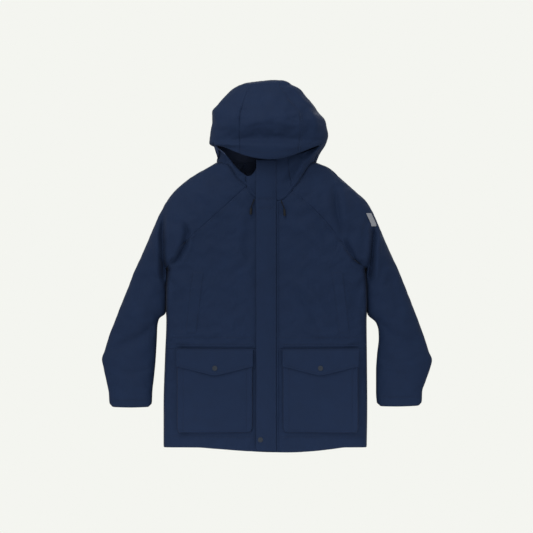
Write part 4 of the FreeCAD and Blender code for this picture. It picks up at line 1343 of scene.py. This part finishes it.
def make_storm_flap():
    """A long placket with a slightly slack free edge, sewn down along its left side."""
    low = HEM_Z - 11
    xs = np.array([-29.4, -28.6, -26.5, -23, -17, -9, -1, 8, 16, 20.5, 23, 25.5, 28.4, 29.7])
    edge = np.array([1.5, 0.5, 0.1, 0, 0, -0.15, -0.2, 0.1, 1.1, 1.8, 2.9, 2.5, 2.9, 4.0])
    x, z = np.meshgrid(xs, np.linspace(low, FLAP_TOP_Z, 150))
    free = smooth((6 - x) / 34)
    slack = free * (0.9 * waves(0 * z, z, 41, 190) + 0.5 * waves(0 * z, z, 42, 75))
    held = np.ones_like(z)
    for n in range(5):
        held = np.minimum(held, smooth((np.abs(z - SNAP_Z - SNAP_PITCH * n) - 9) / 26))
    y = FLAP_FACE_Y + edge[None] - slack * held
    x = x + 0.7 * free * waves(0 * z, z, 43, 160)
    z = z + 5 * smooth((z - (low + 7)) / -7) * smooth((-21 - x) / 8)
    for level in FLAP_TACKS:
        y = y + 0.9 * np.exp(-(((z - level) / 2.6) ** 2))
    # one hidden snap pulls in, and the sewn edge follows the chest where the neck opens
    y = y + 0.9 * np.exp(-((np.hypot(x + 19, z + 623) / 9) ** 2))
    y = y + 3.2 * smooth((x - 16) / 11) * np.exp(-(((z + 97) / 26) ** 2))
    obj = sheet_of("storm_flap_cloth", np.stack([x, y, z], -1), CHEST_MIDDLE, UNLINED, 2.2)
    place(obj, "storm_flap", "shell", "storm_flap")
    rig.sheet(obj, flat=(0.059, 0.844), held="hung", rests_on=["storm_flap_seam"])
    tree = skin([obj])
    seams = [(tree, [(26.8, low + 4), (26.8, FLAP_TOP_Z - 3)])]
    seams += [(tree, [(-25, level + d), (21, level + d)]) for level in FLAP_TACKS for d in (2, -2)]
    sew("storm_flap_stitches", "storm_flap", seams)
    path = [(FLAP_SEAM_X, low + 1), (FLAP_SEAM_X, -106)]
    place(strip("storm_flap_seam_cloth", body_skin, path, 8.0, 2.6), "torso", "shell", "storm_flap_seam")


# ---- pockets ----
POCKET_BACK_Y = -119.4
FLAP_SNAP_Z = -589
FLAP_HINGE_Z = -531.6


def pocket_face(z):
    return spline(z, [POCKET_LOW, -690, -640, -589, POCKET_TOP], [-126.4, -128.2, -128.8, -128.44, -127.0])


def make_patch_pockets():
    """Bellows pockets that stand off more towards the bottom, with a fold line beside each edge."""
    border = np.array([0, 0.4, 1.1, 2.2, 4.2, 8.5, 13, 15, 17, 21])
    share = [0, 0.6, 0.86, 0.97, 1, 1, 1, 1, 1, 1]
    for side, name in SIDES:
        x0, x1 = POCKET_SPAN[side]
        wide, middle = x1 - x0, (x0 + x1) / 2
        xs = np.concatenate([border, np.linspace(27, wide - 27, 26), wide - border[::-1]])
        zs = np.concatenate([POCKET_LOW + border[:7], np.linspace(POCKET_LOW + 19, POCKET_TOP, 34)])
        u, z = np.meshgrid(xs, zs)
        near = np.minimum(u, wide - u)
        low = z - POCKET_LOW
        rise = np.interp(near, border, share) * np.interp(low, border, share)
        round_in = 5.0 * (1 - smooth(low / 13))
        x = x0 + u + np.where(u < wide / 2, round_in, -round_in) * smooth((30 - near) / 30)
        inner = smooth(near / 40) * smooth(low / 40)
        soft = 1.3 * waves(x, z, 50 + side, 120) + 0.5 * waves(x, z, 53 + side, 50)
        bulge = 1.0 * inner * np.exp(-(((low - 90) / 80) ** 2))
        y = POCKET_BACK_Y + (pocket_face(z) - POCKET_BACK_Y) * rise - inner * soft - bulge
        y = y + 0.9 * np.exp(-(((near - 15) / 2.2) ** 2)) * smooth(low / 12)
        z = z - 1.6 * side * (u / wide - 0.5) * (1 - smooth(low / 60))
        z = z - 1.2 * np.sin(math.pi * u / wide) * (1 - smooth(low / 50))
        inside = (middle, -60, -650)
        obj = sheet_of(name + "_patch_pocket_cloth", np.stack([x, y, z], -1), inside, UNLINED, 1.5)
        place(obj, "torso", "shell", name + "_patch_pocket")
        tree = skin([obj])
        seams = [(tree, [(x, POCKET_LOW + 5), (x, POCKET_TOP - 4)]) for x in (x0 + 18, x1 - 18)]
        ends = (x0 + 12, POCKET_LOW + 6.5), (x1 - 12, POCKET_LOW + 6.5)
        seams.append((tree, [ends[0], (middle, POCKET_LOW + 5.2), ends[1]]))
        sew(name + "_patch_pocket_stitches", "torso", seams)
        pocket_flap(side, name, x0 - 1 - (side < 0), x1 + 1 + (side > 0))


def pocket_flap(side, name, x0, x1):
    """A pointed flap; its outer face steps out from the seam over the pocket's mouth."""
    middle = (x0 + x1) / 2 + (0.5 if side < 0 else -0.5)
    edge = np.array([0, 0.7, 2.0, 4.5])
    xs = np.concatenate([x0 + edge, np.linspace(x0 + 9, x1 - 9, 34), x1 - edge[::-1]])
    away = np.abs(xs - middle) / ((x1 - x0) / 2)
    low = -611.4 + 27.4 * np.sqrt(away**2 + 0.0009) - 1.2 * away * (1 - away)
    rows = np.concatenate([[0, 0.02, 0.045, 0.07, 0.1], np.linspace(0.14, 0.9, 13), [0.95, 0.98, 1.0]])
    z = FLAP_HINGE_Z + (low[None] - FLAP_HINGE_Z) * rows[:, None]
    x = xs[None] + 0 * z
    face = spline(z, [FLAP_HINGE_Z, -533.6, -536.5, -539.5, -546, FLAP_SNAP_Z, -612],
                  [-121.6, -124.4, -128.2, -130.4, -131.0, -132.25, -132.95])
    near = np.minimum(np.minimum(x - x0, x1 - x), z - low[None])
    snap = smooth((np.hypot(x - middle, z - FLAP_SNAP_Z) - 9) / 30)
    body = smooth((-541 - z) / 20)
    lift = 0.9 * body * snap * (0.35 + waves(x, z, 60 + side, 95))
    y = face + 1.1 * (1 - smooth(near / 2.2)) * body - lift
    y = y + 0.45 * np.exp(-(((near - 5.4) / 1.6) ** 2)) * body
    inside = (middle, -60, -570)
    obj = sheet_of(name + "_pocket_flap_cloth", np.stack([x, y, z], -1), inside, UNLINED, 2.2)
    place(obj, name + "_pocket_flap", "shell", name + "_pocket_flap")
    tree = skin([obj])
    left, right, tip = x0 + 5.4, x1 - 5.4, (middle, -605.6)
    sew(name + "_pocket_flap_stitches", name + "_pocket_flap", [
        (tree, [(left, -543), (left, -579)]), (tree, [(left, -579.5), tip]),
        (tree, [tip, (right, -579.5)]), (tree, [(right, -579), (right, -543)]),
    ])
    ridge = strip(name + "_flap_seam_cloth", body_skin, [(x0, -525.2), (x1, -525.2)], 5.2, 0.9)
    place(ridge, "torso", "shell", name + "_flap_seam")


def make_hand_pockets():
    """Slanted welts on the chest, and the flat bags behind them."""
    top, low = -309.0, -490.0
    across = np.array([0, 0.03, 0.1, 0.25, 0.5, 0.75, 0.9, 0.97, 1.0])
    rise = np.array([-1.6, 0.7, 1.6, 1.8, 1.9, 2.1, 2.3, 2.0, -1.0])
    rows = 40
    for side, name in SIDES:
        shift = 8 if side > 0 else 0
        grid = np.zeros((rows, len(across), 3))
        for r, z in enumerate(np.linspace(low, top, rows)):
            t = (z - low) / (top - low)
            inner = 201 - 21 * t + shift
            end = min(1.0, min(r, rows - 1 - r) / 1.5)
            for c, a in enumerate(across):
                p, n = drop(body_skin, side * (inner + 33 * a), z)
                grid[r, c] = p + n * (rise[c] * end - 0.3 * (1 - end))
        obj = sheet_of(name + "_hand_pocket_welt_cloth", grid, CHEST_MIDDLE, UNLINED, 1.0)
        place(obj, "torso", "shell", name + "_hand_pocket_welt")
        tree = skin([obj])
        seams = [(tree, [(side * (204.5 + shift), low + 4), (side * (183.5 + shift), top - 4)])]
        for z, inner in ((low + 3.5, 201 + shift), (top - 3.5, 180 + shift)):
            seams.append((tree, [(side * (inner + 3), z), (side * (inner + 30), z)]))
        sew(name + "_hand_pocket_stitches", "torso", seams)
        bag = []
        for z in np.linspace(-515, -300, 18):
            reach = 206 + shift + 12 * smooth((-300 - z) / 200)
            row = [drop(body_skin, side * x, z)[0] for x in np.linspace(76, reach, 14)]
            bag.append(np.array(row) + np.array([0, 3.3, 0]))
        bag = np.array(bag)
        obj = sheet_of(name + "_hand_pocket_bag_cloth", bag, CHEST_MIDDLE, [LINING, LINING], INNER_T)
        place(obj, "torso", "lining", name + "_hand_pocket_bag")


def offset_path(path, d):
    p = along(path, 40)
    t = np.gradient(p, axis=0)
    t /= np.linalg.norm(t, axis=1, keepdims=True)
    return p + d * np.stack([-t[:, 1], t[:, 0]], 1)


def make_stitches():
    """Topstitching on the body, sleeves and hood, and the welt along the hood's neck seam."""
    seams = []
    for side, _ in SIDES:
        outer = 284 if side < 0 else 283
        for level in (-500, -519.2):
            seams.append((body_skin, [(side * 38, level), (side * outer, level)]))
        for level in (-786, -790.5):
            seams.append((body_skin, [(side * (12 if side < 0 else 18), level), (side * 287, level + 3)]))
            hem = [(0.5 * side, level - 14), (side * 150, level - 10.5), (side * 286, level + 2)]
            seams.append((body_skin, hem, False))
        seams.append((body_skin, [(0.5 * side, -519), (side * 284, -519)], False))
        neck, raglan, back = (
            offset_path([(side * x, z) for x, z in path], -5 * side)
            for path in (NECK_FRONT[side], RAGLAN_FRONT[side], RAGLAN_BACK)
        )
        seams += [(body_skin, neck), (body_skin, raglan[:-3]), (body_skin, back[:-3], False)]
    sew("torso_stitches", "torso", seams)
    for side, name in SIDES:
        tree = skin([sleeves_made[side]])
        cuff = -679 if side < 0 else -670
        ends = side * (INNER[side][-1][0] + 4), side * (OUTER[side][-1][0] - 4)
        seams = [(tree, [(x, z) for x in ends], front) for front in (True, False) for z in (cuff, cuff - 4)]
        line = offset_path([(side * x, z) for x, z in NECK_SIDE[side]][:-1], -5 * side)
        sew(name + "_sleeve_stitches", name + "_sleeve", seams + [(tree, line[1:])])
    tree = skin(hood_made)
    xs = np.linspace(-146, 142, 30)
    seams = [(tree, np.stack([x, peak_edge(x) + up], 1)) for x, up in ((xs, 19), (xs * 1.02, 4))]
    front_z, back_z = np.linspace(22, 226, 30), np.linspace(18, 226, 30)
    for off in (-4.5, 4.5):
        for x in hood_seams(front_z, True):
            seams.append((tree, np.stack([x + off, np.maximum(front_z, peak_edge(x) + 5)], 1)))
        for x in hood_seams(back_z, False):
            seams.append((tree, np.stack([x + off, back_z], 1), False))
    sew("hood_stitches", "hood", seams)
    for side, name in SIDES:
        path = [(side * x, z) for x, z in NECK_FRONT[side][1:] + NECK_SIDE[side][1:-1]]
        place(strip(name + "_neck_welt", tree, offset_path(path, 6.0 * side), 7.0, 1.5), "hood")


def make_tab():
    """A plain reflective tab sewn on the left sleeve, just inside its outer edge."""
    tree = skin([sleeves_made[1]])
    grid = []
    for z in np.linspace(-178, -140, 14):
        edge = spline(z, [-172, -129], [325, 305])
        found = [drop(tree, x, z) for x in np.linspace(edge - 21, edge - 6, 8)]
        grid.append([p + n for p, n in found])
    grid = np.array(grid)
    # the film is stiffer than the cloth, so it keeps one even curve
    u, v, y = ((grid[..., 0] - 305) / 20).ravel(), ((grid[..., 2] + 160) / 20).ravel(), grid[..., 1].ravel()
    terms = np.stack([np.ones(len(u)), u, v, u * u, u * v, v * v], 1)
    grid[..., 1] = (terms @ np.linalg.lstsq(terms, y, rcond=None)[0] - 0.6).reshape(grid.shape[:2])
    obj = sheet_of("reflective_tab_film", grid, (230, MID_Y, -200), [REFLECT], 0.7)
    place(obj, "left_sleeve", "reflective", "reflective_tab")


make_storm_flap()
make_patch_pockets()
make_hand_pockets()
make_stitches()
make_tab()


# ---- light and stage ----
BACKGROUND = (0.905, 0.913, 0.871)


def camera_only(nodes, links, seen, other, output):
    """Shows one shader to the camera and the other to every other ray."""
    mix = nodes.new("ShaderNodeMixShader")
    path = nodes.new("ShaderNodeLightPath")
    links.new(path.outputs["Is Camera Ray"], mix.inputs[0])
    links.new(other, mix.inputs[1])
    links.new(seen, mix.inputs[2])
    links.new(mix.outputs[0], output)


SOFT_LIGHT = {"Color": (0.95, 0.97, 1.0, 1), "Strength": 0.55}


def make_stage():
    scene = bpy.context.scene
    world = bpy.data.worlds.new("studio")
    world.use_nodes = True
    scene.world = world
    nodes, links = world.node_tree.nodes, world.node_tree.links
    seen = nodes["Background"]
    seen.inputs["Color"].default_value = (*BACKGROUND, 1)
    light = value_node(nodes, "ShaderNodeBackground", **SOFT_LIGHT)
    camera_only(nodes, links, seen.outputs[0], light.outputs[0], nodes["World Output"].inputs["Surface"])
    mat = bpy.data.materials.new("pale_floor")
    mat.use_nodes = True
    nodes, links = mat.node_tree.nodes, mat.node_tree.links
    seen = value_node(nodes, "ShaderNodeEmission", Color=(*BACKGROUND, 1), Strength=1.0)
    other = value_node(nodes, "ShaderNodeEmission", **SOFT_LIGHT)
    camera_only(nodes, links, seen.outputs[0], other.outputs[0], nodes["Material Output"].inputs["Surface"])
    bpy.ops.mesh.primitive_circle_add(vertices=96, radius=2.2, fill_type="NGON", location=(0, -0.05, -1.08))
    floor = bpy.context.object
    floor.name = "floor"
    floor.data.materials.append(mat)
    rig.stage(floor)
    for name, spot, aim, size, power, color in (
        ("key", (-1.5, -3.3, 1.9), (0, -0.05, -0.3), 1.6, 27, (1, 0.995, 0.985)),
        ("front", (0.3, -4.6, -0.9), (0, -0.05, -0.2), 1.4, 14.5, (1, 1, 1)),
        ("top", (-0.4, -1.1, 1.5), (0, -0.05, 0.1), 0.8, 13, (1, 1, 1)),
        ("low_left", (-0.36, -0.45, -1.03), (-0.3, -0.1, -0.78), 0.5, 1.45, (0.97, 0.98, 1)),
        ("low_right", (0.36, -0.45, -1.03), (0.3, -0.1, -0.78), 0.5, 1.45, (0.97, 0.98, 1)),
        ("rim_left", (2.6, -0.6, 0.9), (0, -0.05, -0.3), 1.6, 9, (1, 1, 1)),
        ("rim_right", (-2.6, -0.6, 0.2), (0, -0.05, -0.3), 1.6, 8, (1, 1, 1)),
        ("back", (0.4, 2.8, 1.6), (0, -0.05, -0.3), 2.0, 40, (1, 1, 1)),
    ):
        lamp = bpy.data.lights.new(name, "AREA")
        lamp.size = size
        lamp.energy = power
        lamp.color = color
        obj = bpy.data.objects.new(name, lamp)
        scene.collection.objects.link(obj)
        obj.visible_camera = False
        obj.location = spot
        obj.rotation_euler = (Vector(aim) - Vector(spot)).to_track_quat("-Z", "Y").to_euler()


make_stage()
lo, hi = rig.bounds()
with open("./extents.json", "w") as out:
    json.dump({"cad": [list(cad_box[0]), list(cad_box[1])], "visual": [list(lo), list(hi)]}, out)
